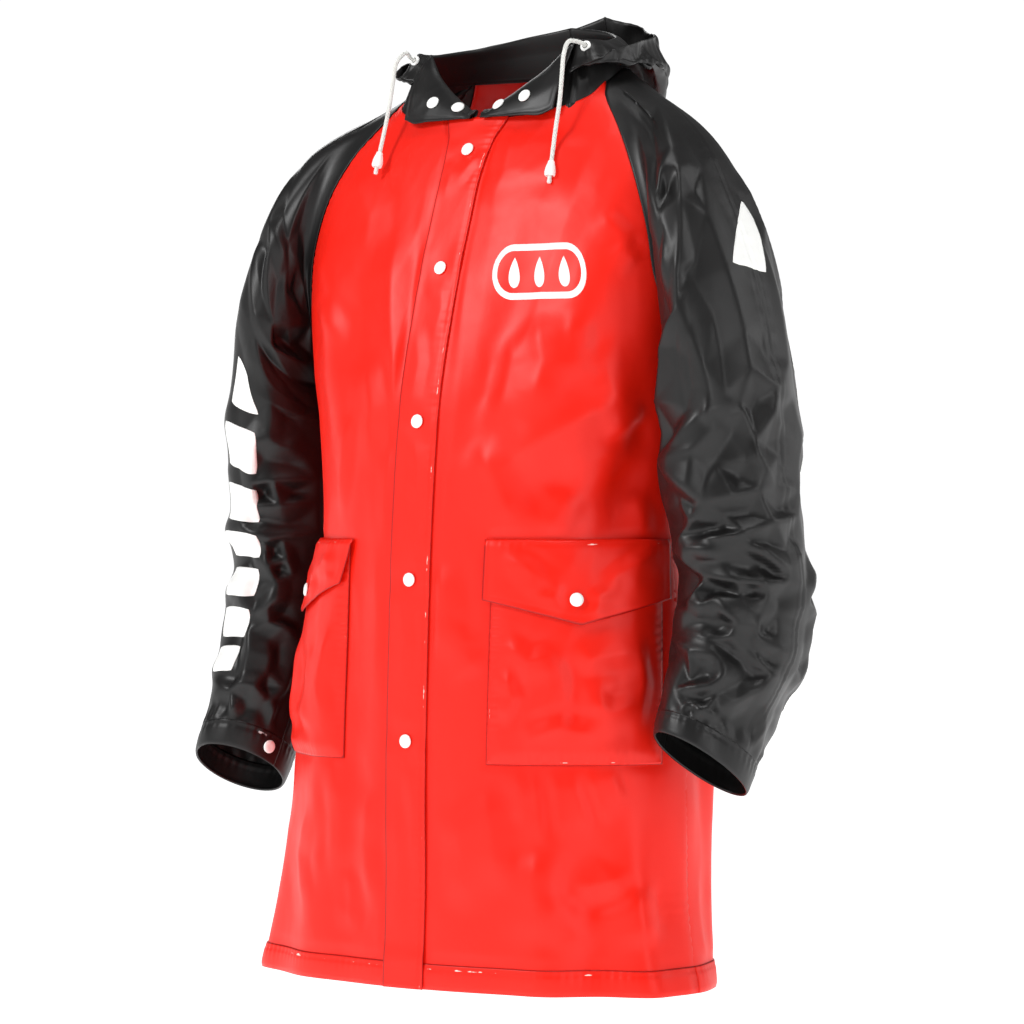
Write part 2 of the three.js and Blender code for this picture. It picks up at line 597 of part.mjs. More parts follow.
// A patch pocket of the panel's own points, swelling in the middle, and its pointed flap
function pocketBulge(arc, z) {
  const across = clamp((arc - pocket.inner) / (pocket.outer - pocket.inner), 0, 1);
  const up = clamp((z - pocket.bottom) / (pocket.top - pocket.bottom), 0, 1);
  const tall = 0.8 * Math.sin(Math.PI * (0.12 + 0.88 * up) ** 0.8) + 0.2 * up;
  return pocket.bulge * (4 * across * (1 - across)) ** 0.7 * tall;
}
function addPockets() {
  for (const side of sides) {
    const columns = panelArcs.filter((arc) => arc >= pocket.inner && arc <= pocket.outer);
    const rows = bodyRows(seamTop.front).filter((z) => z >= pocket.bottom && z <= pocket.top);
    const grid = bodyGrid(columns, rows, (arc, z) => frontPlace(side.sign, arc, z));
    const inside = (i, j) => i > 0 && i < columns.length - 1 && j > 0;
    const low = (i, j) => gap + 0.1 + (inside(i, j) ? pocketBulge(columns[i], rows[j]) : 0);
    addPiece(`pocket_${side.name}`, wall(grid, low, (i, j) => low(i, j) + cloth), materials.red);
    addFlap(side);
  }
}

// Arc and height of a flap's point: across runs from its inner end, down from its seam
function flapSpot(side, across, down) {
  const drop = mix(flap.side, flap.point, Math.max(0, 1 - Math.abs(across - 0.5) * 2) ** 1.1);
  const slant = flap.slant[side.name] * down * (1 - across);
  const arc = mix(pocket.inner - flap.overhang, pocket.outer + flap.overhang, across) + slant;
  return { arc, z: pocket.top + flap.seam - down * (drop + flap.seam) + slant };
}
function flapLift(side, across, down) {
  const { arc, z } = flapSpot(side, across, down);
  const over = ease(down / 0.07);
  return gap + 1 + over * (cloth + 0.7 + pocketBulge(arc, z) + 1.5 * down);
}
function addFlap(side) {
  const columns = Array.from({ length: 9 }, (_, i) => i / 8);
  const rows = [0, 0.035, 0.07, 0.35, 0.68, 1];
  const place = (across, down) => {
    const { arc, z } = flapSpot(side, across, down);
    return frontPlace(side.sign, arc, z);
  };
  const grid = bodyGrid(columns, rows, place);
  const low = (i, j) => flapLift(side, columns[i], rows[j]);
  addPiece(`flap_${side.name}`, wall(grid, low, (i, j) => low(i, j) + cloth), materials.red);
  addSnap(`snap_pocket_${side.name}`, bodySpot(place(0.47, 0.72)), flapLift(side, 0.47, 0.72) + cloth);
}

const spotOf = (grid) => ({ point: grid.points[0][0], normal: grid.normals[0][0] });

// Sleeves in two halves, split along the shoulder line and under the arm, and a cuff band
const seamRounds = seamSteps.map((t) => t * neckShare);
const halfRounds = [...seamRounds, 0.45, 0.5];
const cuffStart = sectionCount - cuffBand / 58;
const sleeveRows = [
  0, 0.35, 0.7, 1, 1.4, 1.8, 2.2, 2.6, 3, 3.25, 3.5, 3.75, 4, 4.3, 4.6, 4.9, 5.2, 5.5, 5.8, 6.15, 6.6,
  7.1, cuffStart,
];
function addSleeves() {
  const step = [0.004, 0.01];
  for (const side of sides) {
    const place = (round, along) => sleevePoint(side, round, along);
    const lift = (round, along) => sleeveFold(side, round, along);
    const trim = gap / 400;
    const front = halfRounds.map((w) => clamp(w, trim, 0.5 - trim));
    const back = front.map((w) => 1 - w).reverse();
    for (const [half, columns] of [["front", front], ["back", back]]) {
      const grid = makeGrid(columns, sleeveRows, place, side.sign, step, lift);
      addPiece(`sleeve_${half}_${side.name}`, wall(grid, -cloth, 0), materials.black);
    }
    const around = Array.from({ length: 25 }, (_, i) => i / 24);
    const bandRows = [cuffStart + 0.006, mix(cuffStart, sectionCount, 0.5), sectionCount];
    const band = makeGrid(around, bandRows, place, side.sign, step);
    addPiece(`cuff_${side.name}`, wall(band, -2 * cloth + 0.6, 0.6, true), materials.black);
    const spot = makeGrid([0.045], [mix(cuffStart, sectionCount, 0.5)], place, -side.sign, step);
    addSnap(`snap_cuff_${side.name}`, spotOf(spot), 2 * cloth - 0.6);
  }
}

// A point at a distance out and up from the neckline
function fromNeck(angle, out, up) {
  const here = neckPoint(angle);
  const along = neckPoint(angle + 1).sub(neckPoint(angle - 1)).setZ(0);
  const outward = new THREE.Vector3(along.y, -along.x, 0).normalize();
  if (outward.dot(new THREE.Vector3(here.x, here.y, 0)) < 0) outward.negate();
  return here.addScaledVector(outward, out).setZ(here.z + up);
}

// A smooth profile through named knots, each [out, up], at a share of its length in knots
function profileAt(knots, share) {
  const last = knots.length - 1;
  const i = clamp(Math.floor(share * last), 0, last - 1);
  const t = share * last - i;
  const [before, low, high, after] = [i - 1, i, i + 1, i + 2].map((k) => knots[clamp(k, 0, last)]);
  return [0, 1].map((axis) => {
    const slopes = [(high[axis] - before[axis]) / 2, (after[axis] - low[axis]) / 2];
    return between(low[axis], high[axis], ...slopes, t);
  });
}

// The collar tabs stand up from the front neckline and fold down over the chest
function collarPoint(sign, along, share) {
  const first = collarSections[0].angle;
  const last = collarSections[collarSections.length - 1].angle;
  const slant = collarSlant * ease((share - 0.4) / 0.6) * along;
  const angle = mix(first, last, along);
  const row = rowAt(collarSections, "angle", angle);
  const knots = [
    [neckLap.out, neckLap.up],
    [neckLap.out + (row.crestOut - neckLap.out) * 0.6, row.crestUp * 0.55],
    [row.crestOut, row.crestUp],
    [row.crestOut + 6 + 2 * along, row.crestUp - 4],
    [mix(row.crestOut, row.edgeOut, 0.75), mix(row.crestUp, row.edgeUp, 0.55)],
    [row.edgeOut, row.edgeUp],
  ];
  const [out, up] = profileAt(knots, share);
  return fromNeck(sign * (angle - slant), out, up);
}
function addCollar() {
  const step = [0.01, 0.01];
  const columns = Array.from({ length: 9 }, (_, i) => i / 8);
  const rows = [0, 0.14, 0.28, 0.38, 0.45, 0.52, 0.6, 0.67, 0.74, 0.8, 0.9, 1];
  for (const side of sides) {
    const place = (along, share) => collarPoint(side.sign, along, share);
    const grid = makeGrid(columns, rows, place, side.sign, step);
    addPiece(`collar_${side.name}`, wall(grid, -cloth, 0), materials.black);
    [[0.13, 0.67], [0.5, 0.8]].forEach(([along, share], i) => {
      const spot = spotOf(makeGrid([along], [share], place, -side.sign, step));
      addSnap(`snap_collar_${side.name}_${i + 1}`, spot, cloth);
    });
  }
}

// The hood in two halves, joined down the middle of its back
function hoodPoint(sign, angle, share) {
  const row = rowAt(hoodSections, "angle", angle);
  const knots = [
    [neckLap.out, neckLap.up],
    [neckLap.out + (row.crestOut - neckLap.out) * 0.6, row.crestUp * 0.55],
    [row.crestOut, row.crestUp],
    [row.midOut, row.midUp],
    [row.sinkOut, row.sinkUp],
    [row.bulgeOut, row.bulgeUp],
    [row.rimOut, row.rimUp],
  ];
  const [out, up] = profileAt(knots, share);
  return fromNeck(sign * angle, out, up);
}
// Soft pleats run from the neck to the rim
function hoodFold(sign, angle, share) {
  const pleats = Math.sin(radians(angle * 9 + 60 * share + (sign > 0 ? 0 : 70)));
  const open = ease((share - 0.4) / 0.3) * ease((angle - 50) / 25) * ease((180 - angle) / 12);
  return 4 * pleats * open;
}
function addHood() {
  const angles = [35.5, 44, 53, 63, 74, 86, 98, 110, 121, 132, 143, 154, 163, 172, 180];
  const rows = [0, 0.12, 0.22, 0.3, 0.36, 0.44, 0.52, 0.6, 0.66, 0.72, 0.79, 0.88, 1];
  for (const side of sides) {
    const place = (angle, share) => hoodPoint(side.sign, angle, share);
    const lift = (angle, share) => hoodFold(side.sign, angle, share);
    const grid = makeGrid(angles, rows, place, side.sign, [0.3, 0.004], lift);
    const seam = angles.length - 1;
    grid.points.forEach((line) => line[seam].setX((side.sign * gap) / 2));
    grid.normals.forEach((line) => line[seam].setX(0).normalize());
    addPiece(`hood_${side.name}`, wall(grid, -cloth, 0), materials.black);
    addDrawstring(side, spotOf(makeGrid([50], [0.5], place, -side.sign, [0.3, 0.004])));
  }
}

// An eyelet near the hood's front end, the drawstring's free end and its moulded tip
function addDrawstring(side, spot) {
  const ring = [[2.7, 0], [5.4, 0], [5.4, 0.8], [4.6, 1.6], [3.1, 1.6], [2.7, 0.9], [2.7, 0]];
  const seat = spot.point.addScaledVector(spot.normal, cloth - 0.7);
  addTurned(`eyelet_${side.name}`, ring, 16, seat, spot.normal, materials.white);
  const first = [0, 6].map((out) => seat.clone().addScaledVector(spot.normal, out));
  const rest = cordRoute[side.name].map(([x, y, z]) => new THREE.Vector3(side.sign * x, y, z));
  const curve = new THREE.CatmullRomCurve3([...first, ...rest]);
  const section = new THREE.Shape();
  section.absarc(0, 0, cord.radius, 0, 2 * Math.PI);
  const options = { steps: 20, curveSegments: cord.sides / 2, extrudePath: curve };
  const tube = new THREE.ExtrudeGeometry(section, options);
  addPiece(`drawstring_${side.name}`, tube, materials.white);
  const down = curve.getTangent(1);
  const tip = [[0, 0], [3.1, 0], [3.6, 2], [4.4, 5], [5.2, 9], [5.4, 13], [4.9, 15.5], [0, 15.5]];
  const end = rest[rest.length - 1].clone().addScaledVector(down, gap);
  addTurned(`drawstring_tip_${side.name}`, tip, 12, end, down, materials.white);
}

addFronts();
addBack();
addPlacket();
addPockets();
addSleeves();
addCollar();
addHood();

export default coat;
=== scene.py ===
import math

import bmesh
import bpy
import numpy as np
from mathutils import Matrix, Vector, geometry, noise


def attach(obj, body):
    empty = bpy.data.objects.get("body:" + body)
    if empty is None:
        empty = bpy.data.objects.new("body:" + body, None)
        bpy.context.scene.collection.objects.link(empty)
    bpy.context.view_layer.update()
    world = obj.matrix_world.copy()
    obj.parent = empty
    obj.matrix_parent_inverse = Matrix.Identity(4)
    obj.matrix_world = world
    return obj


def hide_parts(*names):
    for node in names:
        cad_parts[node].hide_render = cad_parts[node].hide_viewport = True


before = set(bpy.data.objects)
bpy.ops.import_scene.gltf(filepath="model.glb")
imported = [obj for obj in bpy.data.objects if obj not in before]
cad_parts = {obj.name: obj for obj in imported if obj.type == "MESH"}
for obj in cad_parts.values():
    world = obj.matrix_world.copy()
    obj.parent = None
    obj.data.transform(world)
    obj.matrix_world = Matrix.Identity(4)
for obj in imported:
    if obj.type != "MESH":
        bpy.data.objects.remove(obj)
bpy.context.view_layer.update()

print("frame loaded")

# the film's slack is drawn from this seed, so that each run gives the same coat
noise.seed_set(7)

# the coat's cut, in millimetres and degrees round the body, as the part's source has it
cut = {
    "hemLine": -889, "hemBand": 25, "armpit": -290, "topFront": -14, "topBack": 8,
    "neckFront": 62, "neckBack": 118, "drawnDown": -120, "neckShare": 0.4, "gap": 0.3,
}
placket = {"under": -15, "edge": -24, "lap": 17, "weld": 23, "film": 1.7}
pocket = {"top": -464, "bottom": -672, "inner": 88, "outer": 262, "bulge": 7}
flap = {"side": 52, "point": 76, "overhang": 7, "seam": 6, "slant": {"left": 0, "right": 14}}
# the cuff's height and the length of the last section, along the sleeve
cuffBand, lastSection = 28, 58

# height, half width, depth in front, depth behind, middle x, middle y, squareness
bodyRings = [
    (14, 98, 68, 78, 0, 0, 1), (0, 114, 73, 88, 0, -2, 1), (-20, 144, 77, 101, 0, -5, 0.97),
    (-45, 178, 75, 114, 0, -11, 0.88), (-75, 203, 80, 126, 0, -21, 0.84),
    (-110, 219, 91, 132, 0, -26, 0.82), (-150, 226, 101, 136, 0, -30, 0.82),
    (-200, 226, 116, 136, 0, -32, 0.84), (-290, 215, 139, 127, 0, -34, 0.9),
    (-340, 205, 148, 120, 0, -35, 0.94), (-450, 197, 154, 116, -1, -38, 0.97),
    (-560, 211, 150, 124, -3, -45, 0.97), (-680, 225, 145, 134, -5, -51, 0.97),
    (-790, 229, 140, 137, -5, -56, 0.97), (-850, 240, 136, 138, -6, -61, 0.97),
    (-895, 253, 132, 138, -7, -65, 0.97),
]
neckline = [(0, -46), (25, -42), (45, -30), (62, -14), (90, 2), (118, 8), (180, 13)]
seamFront = [(-290, 90), (-268, 82), (-240, 73), (-205, 65), (-165, 60), (-120, 54.5), (-80, 51),
             (-45, 50), (-28, 54), (-14, 62)]
seamBack = [(-290, 90), (-268, 98), (-240, 107), (-205, 115), (-165, 120), (-120, 125), (-80, 129),
            (-45, 131), (-15, 126), (8, 118)]

# inner x and z, outer x and z, middle y, half depth, degrees the front is raised
sleeveSections = {
    "left": [
        (226, -302, 228, -72, -36, 82, 0), (223, -315, 290, -188, -46, 86, 0),
        (217, -340, 322, -320, -50, 84, 0), (213, -428, 331, -426, -49, 78, 0),
        (222, -490, 346, -496, -42, 76, 6), (226, -560, 340, -572, -60, 67, 20),
        (232, -614, 323, -630, -88, 60, 26), (236, -656, 318, -680, -112, 54, 32),
    ],
    "right": [
        (226, -302, 239, -70, -36, 82, 0), (221, -315, 287, -187, -46, 86, 0),
        (215, -340, 313, -322, -50, 82, 0), (211, -430, 321, -430, -49, 77, 0),
        (214, -496, 326, -502, -42, 74, 6), (226, -572, 334, -584, -60, 66, 18),
        (236, -634, 328, -646, -86, 58, 26), (246, -690, 332, -696, -106, 52, 30),
    ],
}
sectionCount = 8
cuffStart = sectionCount - cuffBand / lastSection

# angle, crest out and up, edge out and up
collarSections = [(2.5, -4, 8, 6, 0), (10, -11, 23, 7, -1), (20, -20, 42, 9, -2),
                  (28, -26, 56, 10, -4), (34, -29, 61, 10, -1)]
# angle, then out and up of the crest, mid, sink, bulge and rim
hoodSections = [
    (35.5, -29, 61, -24, 57, -17, 46, -10, 38, -4, 33), (50, -20, 51, -14, 47, -6, 35, 4, 28, 9, 33),
    (64, -15, 40, -7, 34, 2, 20, 15, 16, 14, 32), (85, -12, 30, 2, 18, 14, 5, 27, 8, 20, 29),
    (110, -11, 30, 7, 16, 22, -2, 36, 3, 24, 31), (130, -10, 34, 12, 12, 33, -14, 50, -2, 30, 36),
    (155, -8, 40, 22, 2, 56, -60, 76, -30, 46, 48), (180, -6, 44, 28, -6, 58, -116, 88, -62, 54, 64),
]
neckLap = (-0.2, 0.5)

# low and high end, angle at each, width, depth
bodyFolds = [
    (-990, -690, 32, 40, 7, 7), (-990, -680, 50, 54, 8, -7), (-990, -700, 68, 64, 8, 9),
    (-960, -360, -17, -20, 6, -6), (-990, -520, -34, -30, 8, 7), (-990, -700, -62, -58, 9, 10),
    (-990, -740, -84, -80, 9, -8), (-430, -130, 34, 46, 10, 7), (-460, -110, 16, 24, 8, -5),
    (-480, -120, -26, -40, 9, 6), (-500, -300, 60, 78, 9, -10), (-500, -300, -60, -76, 9, -7),
    (-990, -420, 116, 122, 9, 11), (-990, -480, 138, 140, 8, -10), (-990, -330, 160, 156, 9, 10),
    (-990, -500, 181, 182, 8, -9), (-990, -360, -158, -152, 9, 11), (-990, -460, -136, -134, 8, -9),
    (-990, -430, -112, -118, 9, 10), (-420, -140, 150, 132, 9, 7), (-420, -140, -148, -134, 9, 7),
]
# along, round, length, width, turn, depth
sleeveFolds = {
    "left": [
        (1.9, 0.3, 1.1, 0.05, 0, -9), (1.7, 0.2, 1.2, 0.04, 0, 6), (3.35, 0.2, 0.22, 0.16, 1.6, 9),
        (3.8, 0.3, 0.2, 0.17, -1.4, -8), (4.3, 0.18, 0.22, 0.15, 1.2, 8),
        (4.75, 0.3, 0.2, 0.18, -0.8, -8), (5.2, 0.22, 0.2, 0.16, 1.3, 8),
        (5.65, 0.28, 0.2, 0.17, -1.2, -7), (6.1, 0.2, 0.22, 0.15, 0.9, 6), (4.9, 0.6, 0.6, 0.12, 0, 9),
        (3.6, 0.7, 0.24, 0.15, 1.3, -7), (4.2, 0.8, 0.22, 0.15, -1.2, 7), (6.0, 0.7, 0.25, 0.16, 1.1, -7),
        (6.6, 0.45, 0.22, 0.14, 1.0, -6),
    ],
    "right": [
        (2.1, 0.34, 1.0, 0.05, 0, -7), (2.5, 0.24, 0.3, 0.14, 1.0, 7), (3.2, 0.3, 0.2, 0.15, -1.2, -8),
        (3.8, 0.22, 0.24, 0.16, 1.2, 8), (4.3, 0.36, 0.2, 0.16, -1.2, -9),
        (4.75, 0.25, 0.22, 0.15, 1.4, 8), (5.3, 0.3, 0.2, 0.18, -1.0, -8),
        (5.9, 0.22, 0.22, 0.16, 1.1, 7),
        (6.5, 0.32, 0.2, 0.16, -1.0, -6), (4.8, 0.62, 0.6, 0.12, 0, 9), (3.5, 0.72, 0.24, 0.15, 1.2, -7),
        (5.7, 0.7, 0.25, 0.16, 1.2, -7),
    ],
}
cordRoute = {
    "left": [(99, -72, 25), (101, -84, 12), (102, -89, -10), (103, -94, -35), (104, -102, -62),
             (106, -112, -95)],
    "right": [(101, -73, 27), (103, -85, 16), (104, -89, -2), (105, -93, -24), (106, -99, -48),
              (107, -107, -75)],
}
handOf = {"left": 1, "right": -1}
seedOf = {"left": 0, "right": 1}


# the surfaces take whole arrays of points
def ease(t):
    t = np.clip(t, 0, 1)
    return t * t * (3 - 2 * t)


def between(a, b, slopeA, slopeB, t):
    t2, t3 = t * t, t * t * t
    return (a * (2 * t3 - 3 * t2 + 1) + slopeA * (t3 - 2 * t2 + t)
            + b * (3 * t2 - 2 * t3) + slopeB * (t3 - t2))


def rowsAt(table, at):
    rows = np.array(table, float)
    if rows[0, 0] > rows[-1, 0]:
        rows = rows[::-1]
    keys, at = rows[:, 0], np.asarray(at, float)
    i = np.clip(np.searchsorted(keys, at, side="right") - 1, 0, len(keys) - 2)
    before, after = np.maximum(i - 1, 0), np.minimum(i + 2, len(keys) - 1)
    span = (keys[i + 1] - keys[i])[..., None]
    slopeLow = (rows[i + 1, 1:] - rows[before, 1:]) / (keys[i + 1] - keys[before])[..., None] * span
    slopeHigh = (rows[after, 1:] - rows[i, 1:]) / (keys[after] - keys[i])[..., None] * span
    t = np.clip((at - keys[i])[..., None] / span, 0, 1)
    return between(rows[i, 1:], rows[i + 1, 1:], slopeLow, slopeHigh, t)


def bodyFold(angle, z):
    turned = (angle + 180) % 360 - 180
    total = np.zeros(np.broadcast(angle, z).shape)
    for low, high, angleLow, angleHigh, width, depth in bodyFolds:
        t = (z - low) / (high - low)
        away = turned - (angleLow + (angleHigh - angleLow) * t)
        across = ((away + 540) % 360 - 180) / width
        along = ease(np.minimum(t, 1 - t) / 0.4)
        total = total + depth * along * np.exp(-across * across)
    return total


def bodyPoint(angle, z):
    angle, z = np.broadcast_arrays(np.asarray(angle, float), np.asarray(z, float))
    wide, front, back, x, y, square = np.moveaxis(rowsAt(bodyRings, z), -1, 0)
    sin, cos = np.sin(np.radians(angle)), np.cos(np.radians(angle))
    lift = bodyFold(angle, z)
    power = np.where(cos > 0, square, 1)
    deep = np.where(cos > 0, front, back)
    across = np.sign(sin) * np.abs(sin) ** power
    along = np.sign(cos) * np.abs(cos) ** power
    return np.stack([x + (wide + lift) * across, y - (deep + lift) * along, z], axis=-1)


def unit(v):
    return v / np.maximum(np.linalg.norm(v, axis=-1, keepdims=True), 1e-9)


def bodyNormal(angle, z):
    across = bodyPoint(angle + 0.4, z) - bodyPoint(angle - 0.4, z)
    up = bodyPoint(angle, z + 0.8) - bodyPoint(angle, z - 0.8)
    return unit(np.cross(across, up))


turns = np.arange(-40, 184, 2.0)


def arcsAt(sign, z):
    rings = bodyPoint(sign * turns, z[:, None])
    steps = np.linalg.norm(np.diff(rings, axis=1), axis=-1)
    lengths = np.concatenate([np.zeros((len(z), 1)), np.cumsum(steps, axis=1)], axis=1)
    return lengths - lengths[:, 20:21]


def seamAngle(table, z):
    return np.where(z <= cut["armpit"], 90, rowsAt(table, z)[..., 0])


def neckZ(angle):
    return rowsAt(neckline, np.abs(angle))[..., 0]


def underNeckline(atTop, rowZ, topRow):
    share = np.clip((rowZ - cut["drawnDown"]) / (topRow - cut["drawnDown"]), 0, 1)
    return rowZ + (neckZ(atTop) - topRow) * share


def edgeArc(sign, rowZ, lengths):
    at = (seamAngle(seamFront, rowZ) - turns[0]) / 2
    i = np.clip(at.astype(int), 0, len(turns) - 2)
    n = np.arange(len(i))
    return lengths[n, i] + (lengths[n, i + 1] - lengths[n, i]) * (at - i)


# the fronts' width in arc at the pockets' tops
pocketRow = np.array([pocket["top"]], float)
panelEdge = float(edgeArc(1, pocketRow, arcsAt(1, pocketRow))[0])


# angle and height of a front panel's point, from its arc off the centre front and its row
def frontPlace(sign, arc, rowZ):
    arc, rowZ = np.broadcast_arrays(np.asarray(arc, float), np.asarray(rowZ, float))
    shape = arc.shape
    arc, rowZ = arc.ravel(), rowZ.ravel()
    levels, which = np.unique(rowZ, return_inverse=True)
    lengths = arcsAt(sign, levels)
    edge = edgeArc(sign, levels, lengths)[which]
    lengths = lengths[which]
    fixed = np.where(rowZ > pocket["top"], placket["weld"], pocket["outer"] + flap["overhang"])
    stretched = fixed + (arc - fixed) * (edge - fixed) / (panelEdge - fixed)
    arc = np.where(arc > fixed, stretched, arc)
    n = np.arange(len(arc))
    i = np.clip((lengths < arc[:, None]).sum(axis=1) - 1, 0, len(turns) - 2)
    angle = turns[i] + 2 * (arc - lengths[n, i]) / (lengths[n, i + 1] - lengths[n, i])
    atTop = angle / seamAngle(seamFront, rowZ) * cut["neckFront"]
    z = underNeckline(atTop, rowZ, cut["topFront"])
    return sign * angle.reshape(shape), z.reshape(shape)


def placketPlace(arc, rowZ):
    arc, rowZ = np.broadcast_arrays(np.asarray(arc, float), np.asarray(rowZ, float))
    left, right = frontPlace(1, np.maximum(arc, 0), rowZ), frontPlace(-1, np.maximum(-arc, 0), rowZ)
    return np.where(arc < 0, right[0], left[0]), np.where(arc < 0, right[1], left[1])


def backPlace(across, rowZ):
    across, rowZ = np.broadcast_arrays(np.asarray(across, float), np.asarray(rowZ, float))
    angle = 180 - across * (180 - seamAngle(seamBack, rowZ))
    atTop = 180 - np.abs(across) * (180 - cut["neckBack"])
    return angle, underNeckline(atTop, rowZ, cut["topBack"])


def seamPlace(sign, around):
    front = around <= 0.5
    part = np.where(front, around, 1 - around)
    top = np.where(front, cut["topFront"], cut["topBack"])
    z = cut["armpit"] + (top - cut["armpit"]) * np.minimum(part / cut["neckShare"], 1)
    onSeam = np.where(front, seamAngle(seamFront, z), seamAngle(seamBack, z))
    corner = np.where(front, cut["neckFront"], cut["neckBack"])
    onNeck = corner + (90 - corner) * (part - cut["neckShare"]) / (0.5 - cut["neckShare"])
    low = part <= cut["neckShare"]
    return sign * np.where(low, onSeam, onNeck), np.where(low, z, neckZ(onNeck))


def seamPoint(sign, around):
    return bodyPoint(*seamPlace(sign, around))


def sectionPoint(side, index, around):
    innerX, innerZ, outerX, outerZ, y, depth, raised = sleeveSections[side][index]
    turn, tilt = 2 * np.pi * around, math.radians(raised)
    across, forward = -np.cos(turn) / 2, depth * np.sin(turn)
    x = (innerX + outerX) / 2 + (outerX - innerX) * across
    z = (innerZ + outerZ) / 2 + (outerZ - innerZ) * across
    y, z = y - forward * math.cos(tilt), z + forward * math.sin(tilt)
    return np.stack([handOf[side] * x, y, z], axis=-1)


def seamHeading(side, around):
    sign = handOf[side]
    start = seamPoint(sign, around)
    angle, z = seamPlace(sign, around)
    before, after = np.maximum(around - 0.004, 0), np.minimum(around + 0.004, 1)
    along = seamPoint(sign, after) - seamPoint(sign, before)
    surface = unit(np.cross(along, bodyNormal(angle, z)))
    part = np.minimum(around, 1 - around)
    aside = sign * np.where(around <= 0.5, 1, -1)
    away = np.zeros(surface.shape)
    away[..., 2] = -0.2
    beside = unit(bodyPoint(angle + aside, z) - start)
    away = away + np.where((part < cut["neckShare"])[..., None], beside, 0)
    surface = np.where(((surface * away).sum(axis=-1) < 0)[..., None], -surface, surface)
    toward = unit(sectionPoint(side, 0, around) - start)
    low = (1 - ease(part / 0.14))[..., None]
    mixed = (surface + 0.7 * toward) * (1 - low) + np.array([sign * 0.75, 0, -0.66]) * low
    return unit(mixed)


def pickLayer(stack, k):
    return np.take_along_axis(stack, k[None, ..., None], axis=0)[0]


# a point of a sleeve: around is 0 under the arm, 0.25 in front and 0.5 outside, and along is 0 at
# the raglan seam and 8 at the cuff's edge
def sleevePoint(side, around, along):
    around, along = np.broadcast_arrays(np.asarray(around, float), np.asarray(along, float))
    first = seamHeading(side, around)
    knots = [seamPoint(handOf[side], around) + 2 * cut["gap"] * first]
    knots += [sectionPoint(side, k, around) for k in range(sectionCount)]
    headings = [first]
    for k in range(1, sectionCount + 1):
        back = knots[k] - knots[k - 1]
        if k == sectionCount:
            headings.append(unit(back))
            continue
        ahead = knots[k + 1] - knots[k]
        backLength = np.linalg.norm(back, axis=-1, keepdims=True)
        aheadLength = np.linalg.norm(ahead, axis=-1, keepdims=True)
        both = back * aheadLength / backLength + ahead * backLength / aheadLength
        headings.append(both / (backLength + aheadLength))
    knots, headings = np.stack(knots), np.stack(headings)
    i = np.clip(np.floor(along).astype(int), 0, sectionCount - 1)
    low, high = pickLayer(knots, i), pickLayer(knots, i + 1)
    chord = np.linalg.norm(high - low, axis=-1, keepdims=True)
    return between(low, high, pickLayer(headings, i) * chord, pickLayer(headings, i + 1) * chord,
                   (along - i)[..., None])


def sleeveFold(side, around, along):
    clear = ease((np.minimum(around, 1 - around) - 0.03) / 0.12)
    total = np.zeros(np.broadcast(around, along).shape)
    for at, foldRound, length, width, turn, depth in sleeveFolds[side]:
        away = (around - foldRound + 0.5) % 1 - 0.5
        down = (along - at - turn * away) / length
        total = total + depth * np.exp(-down * down - (away / width) ** 2)
    return total * clear * ease((along - 0.4) / 0.6) * ease((sectionCount - 0.55 - along) / 0.5)


def fromNeck(angle, out, up):
    here = bodyPoint(angle, neckZ(angle))
    along = bodyPoint(angle + 1, neckZ(angle + 1)) - bodyPoint(angle - 1, neckZ(angle - 1))
    outward = unit(np.stack([along[..., 1], -along[..., 0], np.zeros(along.shape[:-1])], axis=-1))
    flip = (outward[..., 0] * here[..., 0] + outward[..., 1] * here[..., 1]) < 0
    outward = np.where(flip[..., None], -outward, outward)
    point = here + outward * out[..., None]
    point[..., 2] = here[..., 2] + up
    return point


def profileAt(knots, share):
    last = len(knots) - 1
    i = np.clip(np.floor(share * last).astype(int), 0, last - 1)
    t = (share * last - i)[..., None]
    stack = np.stack([np.stack(np.broadcast_arrays(out, up, share)[:2], axis=-1) for out, up in knots])
    before, low, high, after = [pickLayer(stack, np.clip(i + k, 0, last)) for k in (-1, 0, 1, 2)]
    return between(low, high, (high - before) / 2, (after - low) / 2, t)


def collarPoint(sign, along, share):
    along, share = np.broadcast_arrays(np.asarray(along, float), np.asarray(share, float))
    slant = 7 * ease((share - 0.4) / 0.6) * along
    angle = 2.5 + 31.5 * along
    crestOut, crestUp, edgeOut, edgeUp = np.moveaxis(rowsAt(collarSections, angle), -1, 0)
    knots = [
        (neckLap[0], neckLap[1]),
        (neckLap[0] + (crestOut - neckLap[0]) * 0.6, crestUp * 0.55),
        (crestOut, crestUp),
        (crestOut + 6 + 2 * along, crestUp - 4),
        (crestOut * 0.25 + edgeOut * 0.75, crestUp * 0.45 + edgeUp * 0.55),
        (edgeOut, edgeUp),
    ]
    profile = profileAt(knots, share)
    return fromNeck(sign * (angle - slant), profile[..., 0], profile[..., 1])


def hoodPoint(sign, angle, share):
    angle, share = np.broadcast_arrays(np.asarray(angle, float), np.asarray(share, float))
    row = np.moveaxis(rowsAt(hoodSections, angle), -1, 0)
    knots = [(neckLap[0], neckLap[1]), (neckLap[0] + (row[0] - neckLap[0]) * 0.6, row[1] * 0.55)]
    knots += [(row[k], row[k + 1]) for k in range(0, 10, 2)]
    profile = profileAt(knots, share)
    return fromNeck(sign * angle, profile[..., 0], profile[..., 1])


def hoodFold(sign, angle, share):
    pleats = np.sin(np.radians(angle * 9 + 60 * share + (0 if sign > 0 else 70)))
    return 4 * pleats * ease((share - 0.4) / 0.3) * ease((angle - 50) / 25) * ease((180 - angle) / 12)


